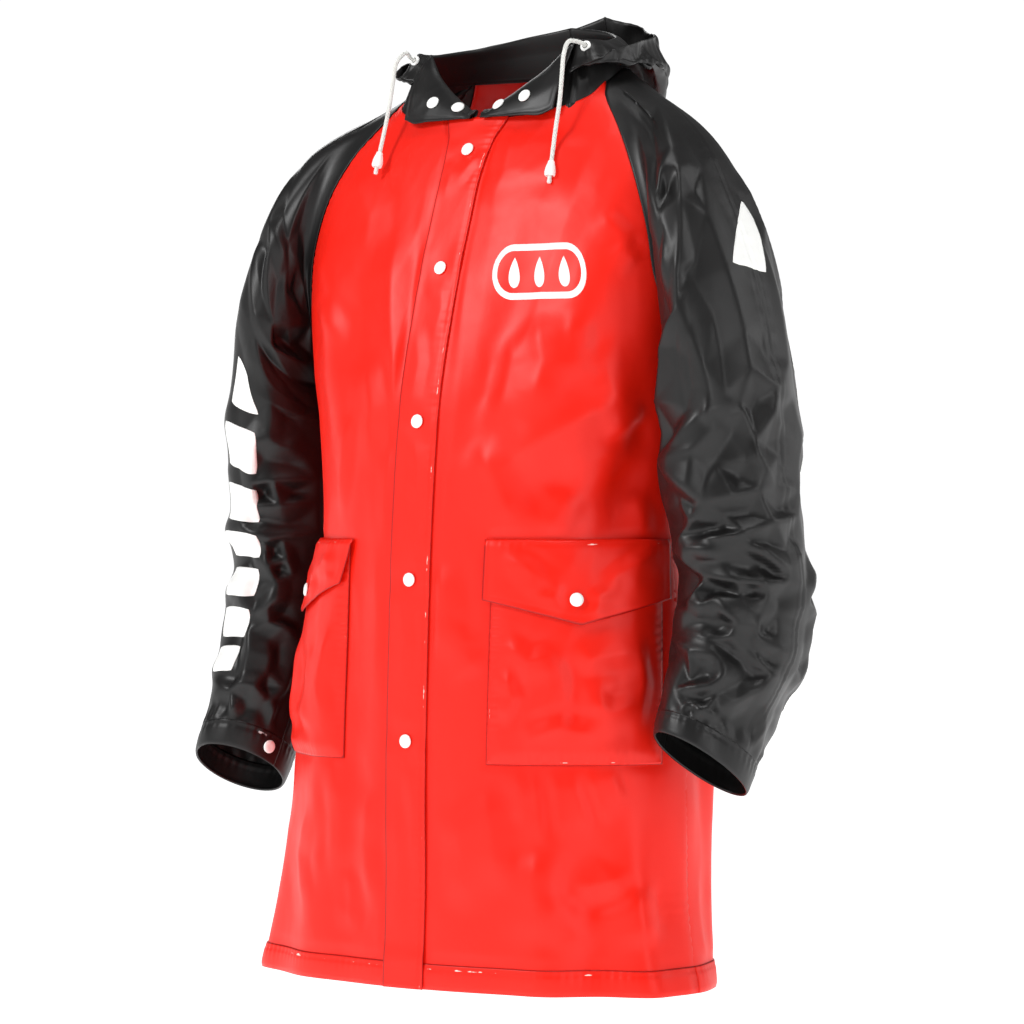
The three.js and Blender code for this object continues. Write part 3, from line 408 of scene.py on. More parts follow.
def pocketBulge(arc, z):
    across = np.clip((arc - pocket["inner"]) / (pocket["outer"] - pocket["inner"]), 0, 1)
    up = np.clip((z - pocket["bottom"]) / (pocket["top"] - pocket["bottom"]), 0, 1)
    tall = 0.8 * np.sin(np.pi * (0.12 + 0.88 * up) ** 0.8) + 0.2 * up
    return pocket["bulge"] * (4 * across * (1 - across)) ** 0.7 * tall


def flapSpot(side, across, down):
    point = np.maximum(0, 1 - np.abs(across - 0.5) * 2) ** 1.1
    drop = flap["side"] + (flap["point"] - flap["side"]) * point
    slant = flap["slant"][side] * down * (1 - across)
    low, high = pocket["inner"] - flap["overhang"], pocket["outer"] + flap["overhang"]
    z = pocket["top"] + flap["seam"] - down * (drop + flap["seam"]) + slant
    return low + (high - low) * across + slant, z


def flapLift(side, across, down):
    arc, z = flapSpot(side, across, down)
    return 1.3 + ease(down / 0.07) * (2.1 + pocketBulge(arc, z) + 1.5 * down)


print("surfaces ready")


def toLinear(hexColour):
    values = [int(hexColour[k:k + 2], 16) / 255 for k in (1, 3, 5)]
    return tuple(v / 12.92 if v <= 0.04045 else ((v + 0.055) / 1.055) ** 2.4 for v in values) + (1.0,)


def addNode(material, kind, settings=None, links=None):
    node = material.node_tree.nodes.new(kind)
    for name, value in (settings or {}).items():
        if name in node.inputs:
            node.inputs[name].default_value = value
        else:
            setattr(node, name, value)
    for name, source in (links or {}).items():
        material.node_tree.links.new(source, node.inputs[name])
    return node


def addMesh(name, points, faces, material, smooth=True):
    mesh = bpy.data.meshes.new(name)
    mesh.from_pydata((np.asarray(points) * 0.001).tolist(), [], [list(f) for f in faces])
    mesh.update()
    if smooth:
        mesh.polygons.foreach_set("use_smooth", [True] * len(mesh.polygons))
    mesh.materials.append(material)
    piece = bpy.data.objects.new(name, mesh)
    bpy.context.scene.collection.objects.link(piece)
    return piece


# the nodes that a piece stands for, its material slot, which is not used, and the body that carries it
def dress(piece, slot, *nodes):
    if nodes:
        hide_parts(*nodes)
    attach(piece, "root")
    return piece


def gridFaces(rows, columns):
    j, i = np.mgrid[0:rows - 1, 0:columns - 1]
    a = (j * columns + i).ravel()
    return np.stack([a, a + 1, a + columns + 1, a + columns], axis=1)


def slopeNormals(points):
    return unit(np.cross(np.gradient(points, axis=1), np.gradient(points, axis=0)))


# a sheet of film from a grid of points on its outer face, thickened inward
def addSheet(name, points, normals, material, film=0.8, weld=None):
    rows, columns = points.shape[:2]
    faces = gridFaces(rows, columns)
    facing = slopeNormals(points)
    if (facing * normals).sum() < 0:
        faces = faces[:, ::-1]
    piece = addMesh(name, points.reshape(-1, 3), faces, material)
    # the weld value drives two painted marks in the film's material: above 0 pale spots along the welds,
    # partly stress whitening and partly painted highlight glints; below 0 painted shade along rims that
    # lie over another layer
    attribute = piece.data.attributes.new("weld", "FLOAT", "POINT")
    values = np.broadcast_to(0 if weld is None else weld, (rows, columns)).ravel()
    attribute.data.foreach_set("value", values.astype(np.float32))
    thick = piece.modifiers.new("film", "SOLIDIFY")
    thick.thickness = film * 0.001
    thick.offset = -1
    return piece


# faces between rings of points, and over the first and the last ring where the ends are closed
def ringFaces(rings, segments, closed=True):
    faces = []
    for start in range(0, (rings - 1) * segments, segments):
        for i in range(segments):
            n = (i + 1) % segments
            faces.append([start + i, start + n, start + segments + n, start + segments + i])
    if closed:
        faces.append(list(range(segments))[::-1])
        faces.append([(rings - 1) * segments + i for i in range(segments)])
    return faces


# a round piece turned about the axis of its seat, from radius and height pairs
def turnedMesh(profile, segments, seat, axis):
    axis = unit(np.asarray(axis, float))
    side = unit(np.cross(axis, [0.3, 0.2, 1.0] if abs(axis[2]) < 0.8 else [1.0, 0.1, 0.0]))
    other = np.cross(axis, side)
    turn = np.linspace(0, 2 * np.pi, segments, endpoint=False)
    around = np.cos(turn)[:, None] * side + np.sin(turn)[:, None] * other
    points = [np.asarray(seat) + axis * h + around * max(r, 0.001) for r, h in profile]
    isLoop = profile[0] == profile[-1]
    faces = ringFaces(len(profile), segments, not isLoop)
    if isLoop:
        points = points[:-1]
        whole = (len(profile) - 1) * segments
        faces = [[v % whole for v in f] for f in faces]
    return np.concatenate(points), faces


def addTurned(name, profile, segments, seat, axis, node):
    piece = addMesh(name, *turnedMesh(profile, segments, seat, axis), acetal)
    work = bmesh.new()
    work.from_mesh(piece.data)
    bmesh.ops.recalc_face_normals(work, faces=work.faces)
    work.to_mesh(piece.data)
    work.free()
    return dress(piece, "white_acetal", node)


# where a grid's surface lies at any column and row value, lifted along its normal
def onGrid(grid, u, v, lift=0.0):
    points, normals, columns, rows = grid
    x = np.interp(u, columns, np.arange(len(columns)))
    y = np.interp(v, rows, np.arange(len(rows)))
    i = np.clip(x.astype(int), 0, len(columns) - 2)
    j = np.clip(y.astype(int), 0, len(rows) - 2)
    s, t = (x - i)[..., None], (y - j)[..., None]
    out = []
    for field in (points, normals):
        low = field[j, i] * (1 - s) + field[j, i + 1] * s
        high = field[j + 1, i] * (1 - s) + field[j + 1, i + 1] * s
        out.append(low * (1 - t) + high * t)
    return out[0] + unit(out[1]) * lift


# running length along a line of points
def runOf(line):
    return np.concatenate([[0], np.cumsum(np.linalg.norm(np.diff(line, axis=0), axis=1))])


# a row of a crease table: crest height, half width and lean, the side on which the film dips beside
# it, then the crease's path in the two values of its grid
def readCreases(rows):
    return [(list(zip(row[3::2], row[4::2])), *row[:3]) for row in rows]


# creases with a crest, a steep flank and a flat one, faded at both ends
def creaseLift(grid, creases):
    points, normals, columns, rows = grid
    flat, facing = points.reshape(-1, 3), normals.reshape(-1, 3)
    total = np.zeros(len(flat))
    for path, height, width, lean in creases:
        path = np.array(path, float)
        steps = np.linspace(0, len(path) - 1, 5 * (len(path) - 1) + 1)
        at = np.arange(len(path))
        u, v = np.interp(steps, at, path[:, 0]), np.interp(steps, at, path[:, 1])
        line = onGrid(grid, u, v)
        reach = 3 * width
        inBox = (flat > line.min(axis=0) - reach) & (flat < line.max(axis=0) + reach)
        near = np.where(inBox.all(axis=1))[0]
        if not len(near):
            continue
        p, n = flat[near], facing[near]
        best = np.full(len(near), 1e9)
        along, side = np.zeros(len(near)), np.ones(len(near))
        lengths = runOf(line)
        for k in range(len(line) - 1):
            a, b = line[k], line[k + 1]
            d = b - a
            t = np.clip(((p - a) @ d) / max(d @ d, 1e-9), 0, 1)
            off = p - (a + t[:, None] * d)
            distance = np.linalg.norm(off, axis=1)
            closer = distance < best
            best = np.where(closer, distance, best)
            share = (lengths[k] + t * (lengths[k + 1] - lengths[k])) / lengths[-1]
            along = np.where(closer, share, along)
            side = np.where(closer, np.sign((np.cross(d, off) * n).sum(axis=1)), side)
        q = best / width
        # the film falls away steeply on the leaning side and as a long flat slope on the other
        toward = q * side * np.sign(lean or 1)
        steep = 1 + 1.1 * abs(lean) * (toward > 0)
        crest = np.clip(1 - (np.sqrt((q * steep) ** 2 + 0.03) - 0.17) / 2.6, 0, 1) ** 1.35
        dip = -0.42 * abs(lean) * np.exp(-((toward - 1.75) / 0.7) ** 2)
        faded = np.clip((3 - q) / 0.5, 0, 1) * ease(along / 0.3) * ease((1 - along) / 0.35)
        total[near] += height * (crest + dip) * faded
    return total.reshape(points.shape[:2])


# stiff film folds into flat facets: a net of triangles is laid through the creases and through feet
# beside them, and its heights are drawn onto the grid. scale turns the grid's two values into mm
def facetLift(grid, creases, scale, sink, soften):
    columns, rows = grid[2], grid[3]
    size = np.array(scale, float)
    spots, heights, edges, feet = [], [], [], []

    def addSpot(p, h):
        for k, q in enumerate(spots):
            if np.hypot(*(p - q)) < 4:
                heights[k] = h if abs(h) > abs(heights[k]) else heights[k]
                return k
        spots.append(p)
        heights.append(h)
        return len(spots) - 1

    segments = []
    for way, height, width, lean in creases:
        p = np.array(way, float) * size
        last = len(p) - 1
        tall = [height * (1 if 0 < k < last else 0.45) for k in range(last + 1)]
        chain = [addSpot(p[k], tall[k]) for k in range(last + 1)]
        edges += [(a, b) for a, b in zip(chain[:-1], chain[1:]) if a != b]
        for k in range(last):
            d = p[k + 1] - p[k]
            length = max(np.hypot(*d), 1e-6)
            aside = np.array([-d[1], d[0]]) / length
            segments.append((p[k], p[k + 1], tall[k], tall[k + 1]))
            middle = (p[k] + p[k + 1]) / 2
            for hand in (1, -1):
                leaning = hand * np.sign(lean or 1) > 0
                reach = width * (1.6 - 0.5 * abs(lean) if leaning else 2.3 + 0.6 * abs(lean))
                feet.append((middle, hand * aside, reach, -height * (sink * (1.25 if leaning else 0.8))))

    def nearest(q):
        best = (1e9, 0.0)
        for a, b, ha, hb in segments:
            d = b - a
            t = min(max(((q - a) @ d) / max(d @ d, 1e-9), 0), 1)
            away = np.hypot(*(q - a - t * d))
            if away < best[0]:
                best = (away, ha + (hb - ha) * t)
        return best

    for middle, aside, reach, h in feet:
        for share in (1, 0.7):
            p = middle + aside * reach * share
            if nearest(p)[0] > 0.8 * reach * share and all(np.hypot(*(p - q)) > 12 for q in spots):
                spots.append(p)
                heights.append(h)
                break
    low = np.array([columns[0], rows[0]]) * size
    high = np.array([columns[-1], rows[-1]]) * size
    for x in np.linspace(low[0], high[0], 12):
        for y in np.linspace(low[1], high[1], 16):
            q = np.array([x, y])
            rim = x in (low[0], high[0]) or y in (low[1], high[1])
            if rim or (nearest(q)[0] > 34 and all(np.hypot(*(q - r)) > 24 for r in spots)):
                spots.append(q)
                heights.append(0.0)
    found = geometry.delaunay_2d_cdt([Vector(p) for p in spots], edges, [], 0, 0.01)
    verts, corners, origins = found[0], found[2], found[3]
    level = [max((heights[k] for k in origin), key=abs) if origin else nearest(np.array(v))[1]
             for v, origin in zip(verts, origins)]
    x, y = np.meshgrid(columns * size[0], rows * size[1])
    total = np.zeros(x.shape)
    for a, b, c in corners:
        pa, pb, pc = verts[a], verts[b], verts[c]
        spread = (pb.y - pc.y) * (pa.x - pc.x) + (pc.x - pb.x) * (pa.y - pc.y)
        if abs(spread) < 1e-6:
            continue
        wa = ((pb.y - pc.y) * (x - pc.x) + (pc.x - pb.x) * (y - pc.y)) / spread
        wb = ((pc.y - pa.y) * (x - pc.x) + (pa.x - pc.x) * (y - pc.y)) / spread
        inside = (wa >= -1e-6) & (wb >= -1e-6) & (wa + wb <= 1 + 1e-6)
        total[inside] = (wa * level[a] + wb * level[b] + (1 - wa - wb) * level[c])[inside]
    # the film can't bend to a knife edge
    for _ in range(soften):
        wide = np.pad(total, 1, mode="edge")
        total = (2 * total + wide[1:-1, :-2] + wide[1:-1, 2:] + wide[:-2, 1:-1] + wide[2:, 1:-1]) / 6
    return total


# uneven slack of the film: soft ridges that meet, of the given size in millimetres along x, y and z
def slack(points, size, seed):
    flat = points.reshape(-1, 3) / np.array(size)
    offset = Vector((seed * 7.3, seed * 3.1, seed * 5.7))
    values = []
    for p in flat.tolist():
        v = Vector(p) + offset
        w = v + 0.45 * noise.noise_vector(v * 0.7)
        values.append(0.32 - abs(noise.noise(w)))
    return np.array(values).reshape(points.shape[:2])


def ripple(distance, along, pitch, reach, seed=0.0):
    # small puckers beside a weld, uneven along it
    uneven = 0.55 + 0.45 * np.sin(along / 31.0 + seed) * np.sin(along / 17.3 + 2 * seed)
    wave = np.sin(2 * np.pi * along / pitch + 1.7 * np.sin(along / 23.0 + seed))
    return wave * uneven * np.exp(-(distance / reach) ** 2)


def groove(distance, width):
    return np.exp(-(distance / width) ** 2)


# a snap draws the film down to the layer under it, and a few small folds stand round it
def snapPull(away, turn, depth, reach, folds, foldAt, foldWidth):
    return folds * groove(away - foldAt, foldWidth) * np.cos(turn) - depth * groove(away, reach)


def startMaterial(name):
    material = bpy.data.materials.new(name)
    material.use_nodes = True
    material.node_tree.nodes.clear()
    return material, addNode(material, "ShaderNodeTexCoord").outputs["Object"]


# Calendered PVC film, satin: soft, slightly glowing red, a fine grain, paler at spots along the welds
# (partly stress whitening, partly painted highlight glints) and painted shade along the rims of sheets
# that lie over another layer
def filmMaterial(name, look):
    material, place = startMaterial(name)
    cloud = addNode(material, "ShaderNodeTexNoise", {"Scale": 9.0, "Detail": 3.0, "Roughness": 0.5},
                    {"Vector": place})
    base = addNode(material, "ShaderNodeMix",
                   {"data_type": "RGBA", "A": toLinear(look["shade"]), "B": toLinear(look["colour"])},
                   {"Factor": cloud.outputs["Fac"]})
    weld = addNode(material, "ShaderNodeAttribute", {"attribute_name": "weld"})
    # spots along a weld, 5 to 20 mm long, painted paler: partly the film's stress whitening, partly
    # painted highlight glints
    spots = addNode(material, "ShaderNodeTexNoise", {"Scale": 60.0, "Detail": 3.0, "Roughness": 0.6},
                    {"Vector": place})
    mask = addNode(material, "ShaderNodeMath", {"operation": "MULTIPLY"},
                   {0: weld.outputs["Fac"], 1: spots.outputs["Fac"]})
    strainGlint = addNode(material, "ShaderNodeMapRange",
                     {"From Min": look["strainGlintFrom"], "From Max": look["strainGlintFrom"] + 0.05},
                     {"Value": mask.outputs["Value"]})
    tint = addNode(material, "ShaderNodeMix", {"data_type": "RGBA", "B": toLinear(look["strainGlintColour"])},
                   {"Factor": strainGlint.outputs["Result"], "A": base.outputs["Result"]})
    # the cut edge, where the film is seen end on, is painted deeper: painted shade along the rims of
    # sheets that lie over another layer, where the weld value falls below 0
    rim = addNode(material, "ShaderNodeMapRange",
                  {"From Min": -0.8, "From Max": -0.05, "To Min": 1.0, "To Max": 0.0},
                  {"Value": weld.outputs["Fac"]})
    tint = addNode(material, "ShaderNodeMix", {"data_type": "RGBA", "B": toLinear(look["edge"])},
                   {"Factor": rim.outputs["Result"], "A": tint.outputs["Result"]})
    # calendered grain of about 0.7 mm, drawn at 1.4 mm so that it shows
    grain = addNode(material, "ShaderNodeTexNoise", {"Scale": 700.0, "Detail": 2.0}, {"Vector": place})
    # slow unevenness of the film, 15 to 40 mm
    waves = addNode(material, "ShaderNodeTexNoise", {"Scale": 38.0, "Detail": 3.0, "Roughness": 0.45},
                    {"Vector": place})
    bumpFine = addNode(material, "ShaderNodeBump", {"Strength": look["grain"], "Distance": 0.0002},
                       {"Height": grain.outputs["Fac"]})
    bump = addNode(material, "ShaderNodeBump", {"Strength": look["waves"], "Distance": 0.004},
                   {"Height": waves.outputs["Fac"], "Normal": bumpFine.outputs["Normal"]})
    rough = addNode(material, "ShaderNodeMapRange",
                    {"To Min": look["roughness"] - 0.05, "To Max": look["roughness"] + 0.06},
                    {"Value": waves.outputs["Fac"]})
    shader = addNode(material, "ShaderNodeBsdfPrincipled",
                     {"IOR": 1.53, "Specular IOR Level": look["shine"], "Subsurface Weight": look["glow"],
                      "Subsurface Scale": 0.004, "Subsurface Radius": (1.0, 0.25, 0.12)},
                     {"Base Color": tint.outputs["Result"], "Roughness": rough.outputs["Result"],
                      "Normal": bump.outputs["Normal"]})
    addNode(material, "ShaderNodeOutputMaterial", {}, {"Surface": shader.outputs["BSDF"]})
    return material


def plainMaterial(name, colour, shade, roughness, grainScale, grainDepth, extra=None):
    material, place = startMaterial(name)
    cloud = addNode(material, "ShaderNodeTexNoise", {"Scale": grainScale, "Detail": 3.0},
                    {"Vector": place})
    base = addNode(material, "ShaderNodeMix",
                   {"data_type": "RGBA", "A": toLinear(shade), "B": toLinear(colour)},
                   {"Factor": cloud.outputs["Fac"]})
    bump = addNode(material, "ShaderNodeBump", {"Strength": 0.3, "Distance": grainDepth},
                   {"Height": cloud.outputs["Fac"]})
    rough = addNode(material, "ShaderNodeMapRange",
                    {"To Min": roughness - 0.04, "To Max": roughness + 0.04},
                    {"Value": cloud.outputs["Fac"]})
    shader = addNode(material, "ShaderNodeBsdfPrincipled", extra or {},
                     {"Base Color": base.outputs["Result"], "Roughness": rough.outputs["Result"],
                      "Normal": bump.outputs["Normal"]})
    addNode(material, "ShaderNodeOutputMaterial", {}, {"Surface": shader.outputs["BSDF"]})
    return material


# each film's pale weld colour is partly stress whitening, partly painted highlight glints; its edge
# colour is painted shade along rims that lie over another layer
redFilmLook = {
    "colour": "#F01C06", "shade": "#E21504", "strainGlintColour": "#FFD6CC", "strainGlintFrom": 0.545,
    "roughness": 0.42, "grain": 0.2, "waves": 0.1, "glow": 0.08, "shine": 0.27, "edge": "#A80803",
}
blackFilmLook = {
    "colour": "#131212", "shade": "#0F0E0E", "strainGlintColour": "#BDBDBD", "strainGlintFrom": 0.555,
    "roughness": 0.41, "grain": 0.2, "waves": 0.1, "glow": 0.0, "shine": 0.33, "edge": "#060606",
}
redFilm = filmMaterial("red_pvc_film_satin", redFilmLook)
blackFilm = filmMaterial("black_pvc_film_satin", blackFilmLook)
# Moulded acetal: even, faintly glossy white, with a soft mould grain
acetal = plainMaterial("white_acetal_moulded", "#F7F7F5", "#F1F1EE", 0.3, 400.0, 0.0001, {"IOR": 1.48})
# Braided polyester: matt white with a slight fuzz
braid = plainMaterial("white_polyester_braid", "#E4E4E0", "#CFCFCA", 0.75, 900.0, 0.0003,
                      {"Sheen Weight": 0.3})
# Screen ink on film: flat white, a little drier than the film round it
ink = plainMaterial("white_screen_ink", "#F4F4F2", "#EDEDEA", 0.5, 260.0, 0.0001)
print("materials ready")

cameraSettings = {
    "place": (2.2778, -3.1657, -0.432), "azimuth": 36.0, "lens": 137.1, "sensor": 36, "far": 60,
}
cameraData = bpy.data.cameras.new("camera")
cameraData.lens = cameraSettings["lens"]
cameraData.sensor_width = cameraSettings["sensor"]
cameraData.clip_end = cameraSettings["far"]
camera = bpy.data.objects.new("camera", cameraData)
bpy.context.scene.collection.objects.link(camera)
camera.location = cameraSettings["place"]
camera.rotation_euler = (math.radians(90), 0, math.radians(cameraSettings["azimuth"]))
bpy.context.scene.camera = camera


# a turned node's points, its axis, pointing away from its widest ring, and that ring's middle
def seatOf(node, ringRadius):
    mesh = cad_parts[node].data
    points = np.array([tuple(v.co) for v in mesh.vertices]) * 1000
    points = np.unique(points.round(3), axis=0)
    away = points - points.mean(axis=0)
    axis = np.linalg.eigh(np.cov(away.T))[1][:, 0]
    ring = points[np.linalg.norm(away - np.outer(away @ axis, axis), axis=1) > ringRadius]
    if (ring @ axis).mean() > (points @ axis).mean():
        axis = -axis
    return points, axis, ring.mean(axis=0)


def smoothRoute(points, count):
    points = np.array(points, float)
    ends = np.vstack([2 * points[0] - points[1], points, 2 * points[-1] - points[-2]])
    route = []
    for k in range(1, len(ends) - 2):
        p0, p1, p2, p3 = ends[k - 1:k + 3]
        t0 = 0
        t1 = t0 + np.linalg.norm(p1 - p0) ** 0.5
        t2 = t1 + np.linalg.norm(p2 - p1) ** 0.5
        t3 = t2 + np.linalg.norm(p3 - p2) ** 0.5
        for t in np.linspace(t1, t2, 12, endpoint=k == len(ends) - 3):
            a1 = (t1 - t) / (t1 - t0) * p0 + (t - t0) / (t1 - t0) * p1
            a2 = (t2 - t) / (t2 - t1) * p1 + (t - t1) / (t2 - t1) * p2
            a3 = (t3 - t) / (t3 - t2) * p2 + (t - t2) / (t3 - t2) * p3
            b1 = (t2 - t) / (t2 - t0) * a1 + (t - t0) / (t2 - t0) * a2
            b2 = (t3 - t) / (t3 - t1) * a2 + (t - t1) / (t3 - t1) * a3
            route.append((t2 - t) / (t2 - t1) * b1 + (t - t1) / (t2 - t1) * b2)
    route = np.array(route)
    run = runOf(route)
    even = np.linspace(0, run[-1], count)
    return np.stack([np.interp(even, run, route[:, k]) for k in range(3)], axis=1), run[-1]


def routeFrames(route):
    tangents = unit(np.gradient(route, axis=0))
    side = unit(np.cross(tangents[0], [0.2, 1.0, 0.3]))
    sides = []
    for tangent in tangents:
        side = unit(side - tangent * (side @ tangent))
        sides.append(side)
    sides = np.array(sides)
    return tangents, sides, np.cross(tangents, sides)


def tubeAlong(route, radius, segments):
    tangents, sides, others = routeFrames(route)
    turn = np.linspace(0, 2 * np.pi, segments, endpoint=False)
    radius = np.broadcast_to(radius, len(route))[:, None, None]
    ring = np.cos(turn)[None, :, None] * sides[:, None] + np.sin(turn)[None, :, None] * others[:, None]
    return (route[:, None] + radius * ring).reshape(-1, 3), ringFaces(len(route), segments)


cordSettings = {"radius": 2.2, "strand": 0.78, "lay": 13.0, "samplesPerLay": 18, "weave": 0.22}
# radius and height
bellProfile = [
    (0.0, 0.0), (2.7, 0.0), (3.1, 0.4), (3.3, 1.4), (3.5, 2.4), (3.9, 3.8), (4.4, 5.4), (4.9, 7.4),
    (5.2, 9.4), (5.4, 11.6), (5.4, 13.2), (5.15, 14.6), (4.7, 15.4), (4.1, 15.7), (3.6, 15.3),
    (3.2, 14.4), (2.6, 14.0), (0.0, 14.0),
]
eyeletProfile = [
    (2.7, -1.2), (5.3, -1.2), (5.5, -0.6), (5.5, 0.3), (5.2, 0.9), (4.6, 1.4), (3.9, 1.6),
    (3.2, 1.45), (2.8, 1.0), (2.7, 0.4), (2.7, -1.2),
]


def addDrawstring(side):
    points, axis, middle = seatOf(f"eyelet_{side}", 5.2)
    seat = middle - axis * (middle @ axis - (points @ axis).min())
    addTurned(f"eyelet_{side}_moulded", eyeletProfile, 40, seat, axis, f"eyelet_{side}")

    knots = [seat, seat + 6 * axis] + [(handOf[side] * x, y, z) for x, y, z in cordRoute[side]]
    route, length = smoothRoute(knots, 24)
    turnsAlong = length / cordSettings["lay"]
    fine, _ = smoothRoute(knots, int(turnsAlong * cordSettings["samplesPerLay"]))
    tangents, sides, others = routeFrames(fine)
    phase = np.linspace(0, 2 * np.pi * turnsAlong, len(fine))
    allPoints, allFaces = tubeAlong(fine[::4], 1.25, 8)
    allPoints, allFaces = [allPoints], list(allFaces)
    count = len(allPoints[0])
    for direction in (1, -1):
        for k in range(4):
            angle = direction * phase + k * np.pi / 2
            reach = 1.32 + direction * cordSettings["weave"] * np.cos(4 * phase)
            strand = fine + (np.cos(angle) * reach)[:, None] * sides
            strand = strand + (np.sin(angle) * reach)[:, None] * others
            made, faces = tubeAlong(strand, cordSettings["strand"], 6)
            allPoints.append(made)
            allFaces += [[v + count for v in f] for f in faces]
            count += len(made)
    cord = addMesh(f"drawstring_{side}_braid", np.concatenate(allPoints), allFaces, braid)
    dress(cord, "white_braid", f"drawstring_{side}")

    end, down = route[-1], unit(route[-1] - route[-2])
    bell = addTurned(f"drawstring_bell_{side}", bellProfile, 36, end - down * 0.4, down,
                     f"drawstring_tip_{side}")
    # the cord's cut end shows a little below the bell
    tail = end + down * 13.0 + np.outer(np.linspace(0, 8.5, 8), down + np.array([0, 0.05, -0.1]))
    made, faces = tubeAlong(tail, np.array([2.0, 2.1, 2.1, 2.0, 2.05, 2.2, 2.3, 1.8]), 12)
    stub = addMesh(f"drawstring_cut_end_{side}", made, faces, braid)
    dress(stub, "white_braid")
    return length


cordLengths = {side: addDrawstring(side) for side in handOf}
print("drawstrings made", {side: round(length) for side, length in cordLengths.items()})

frontSettings = {
    "columnStep": 3.6, "rowStep": 3.9, "tuckUnder": 4.0, "slack": 2.2, "fineSlack": 0.3, "puckers": 0.6,
    "creaseWidth": 1.15, "creaseHeight": 2.3, "length": 0.876, "cutShare": 0.93,
}
# size of the film's slack along x, y and z, broad and fine
slackSize, fineSlackSize = (55, 55, 190), (20, 20, 60)
# crest height, half width, lean, then the path's arcs off the centre front and heights
frontCreases = {
    "left": [
        (4.5, 22, 0.8, 222, -307, 189, -329, 150, -350, 111, -375, 78, -408),
        (3, 18, 0.7, 238, -357, 202, -371, 168, -386, 141, -403),
        (2.6, 13, 0.6, 64, -358, 87, -401, 105, -434, 119, -459),
        (2.5, 14, 0.6, 130, -237, 129, -275, 124, -317, 125, -349),
        (1.8, 12, -0.5, 96, -257, 92, -308, 87, -359), (2, 13, 0.6, 174, -238, 158, -276, 146, -316),
        (2.2, 7, 0.8, 239, -175, 252, -189, 264, -197), (1.8, 8, 0.6, 219, -145, 245, -167, 264, -179),
        (2, 16, 0.5, 190, -47, 157, -88, 129, -138), (1.8, 14, -0.5, 64, -32, 72, -94, 54, -144),
        (1.8, 12, -0.6, 175, -276, 186, -307, 207, -333),
        (2.4, 9, 0.8, 233, -332, 209, -349, 184, -357), (1.6, 12, 0.5, 160, -408, 146, -439, 140, -459),
        (2, 9, 0.6, 227, -408, 236, -438, 241, -463), (2.2, 5, 0.7, 119, -675, 123, -701, 120, -730),
        (2.6, 6, 0.7, 134, -675, 141, -709, 143, -750), (2.6, 6, -0.7, 152, -674, 159, -705, 165, -746),
        (2.6, 6, 0.7, 169, -675, 178, -704, 191, -741), (2.6, 6, -0.7, 186, -675, 197, -699, 208, -730),
        (2.2, 5, 0.7, 205, -674, 213, -691, 222, -709),
        (3, 10, -0.9, 171, -783, 193, -786, 217, -780, 225, -766),
        (2.2, 14, 0.6, 137, -746, 139, -789, 147, -847),
        (1.8, 13, -0.5, 162, -788, 173, -823, 196, -852),
        (2.4, 13, 0.6, 235, -780, 242, -814, 252, -847), (1.8, 14, -0.5, 54, -707, 64, -758, 60, -818),
        (2, 12, 0.6, 85, -688, 96, -739, 102, -798), (1.8, 12, 0.5, 33, -475, 43, -526, 40, -578),
        (1.6, 12, 0.5, 69, -540, 60, -561, 80, -591),
    ],
    "right": [
        (2.2, 8, 0.7, 93, -331, 98, -382, 111, -442), (2, 12, 0.6, 77, -271, 59, -331, 60, -399),
        (2.2, 13, 0.6, 84, -140, 65, -211, 36, -289, 33, -357),
        (1.8, 14, -0.5, 270, -163, 176, -215, 117, -269),
        (1.6, 16, 0.5, 250, -72, 147, -137, 118, -200), (1.8, 8, 0.6, 30, -361, 26, -408, 24, -467),
        (2, 10, 0.6, 261, -202, 167, -241, 110, -269), (2.6, 12, 0.7, 48, -692, 53, -755, 43, -824),
        (2.4, 12, -0.6, 98, -670, 89, -731, 92, -801), (2.2, 12, 0.6, 142, -716, 164, -771, 142, -831),
        (1.8, 9, 0.6, 47, -458, 39, -537, 42, -623), (1.6, 9, -0.6, 75, -494, 70, -554, 74, -625),
        (2, 9, 0.6, 81, -775, 73, -809, 76, -844),
    ],
}


def onBody(angle, z):
    return bodyPoint(angle, z), bodyNormal(angle, z)


def frontGrid(side, arcs, heights):
    return onBody(*frontPlace(handOf[side], arcs[None, :], heights[:, None]))


def clearOfHem(z):
    return ease((z - cut["hemLine"] - cut["hemBand"] - 3) / 10)


def underStrips(arc, z):
    # 0 where the placket, a pocket or the hem band lies on the panel, 1 on the bare film
    bare = ease((np.abs(arc) - 27) / 8)
    onPocket = ease((arc - pocket["inner"] + 8) / 8) * ease((pocket["outer"] + 10 - arc) / 8)
    onPocket = onPocket * ease((z - pocket["bottom"] + 8) / 8) * ease((pocket["top"] + 16 - z) / 8)
    return bare * (1 - onPocket) * clearOfHem(z)


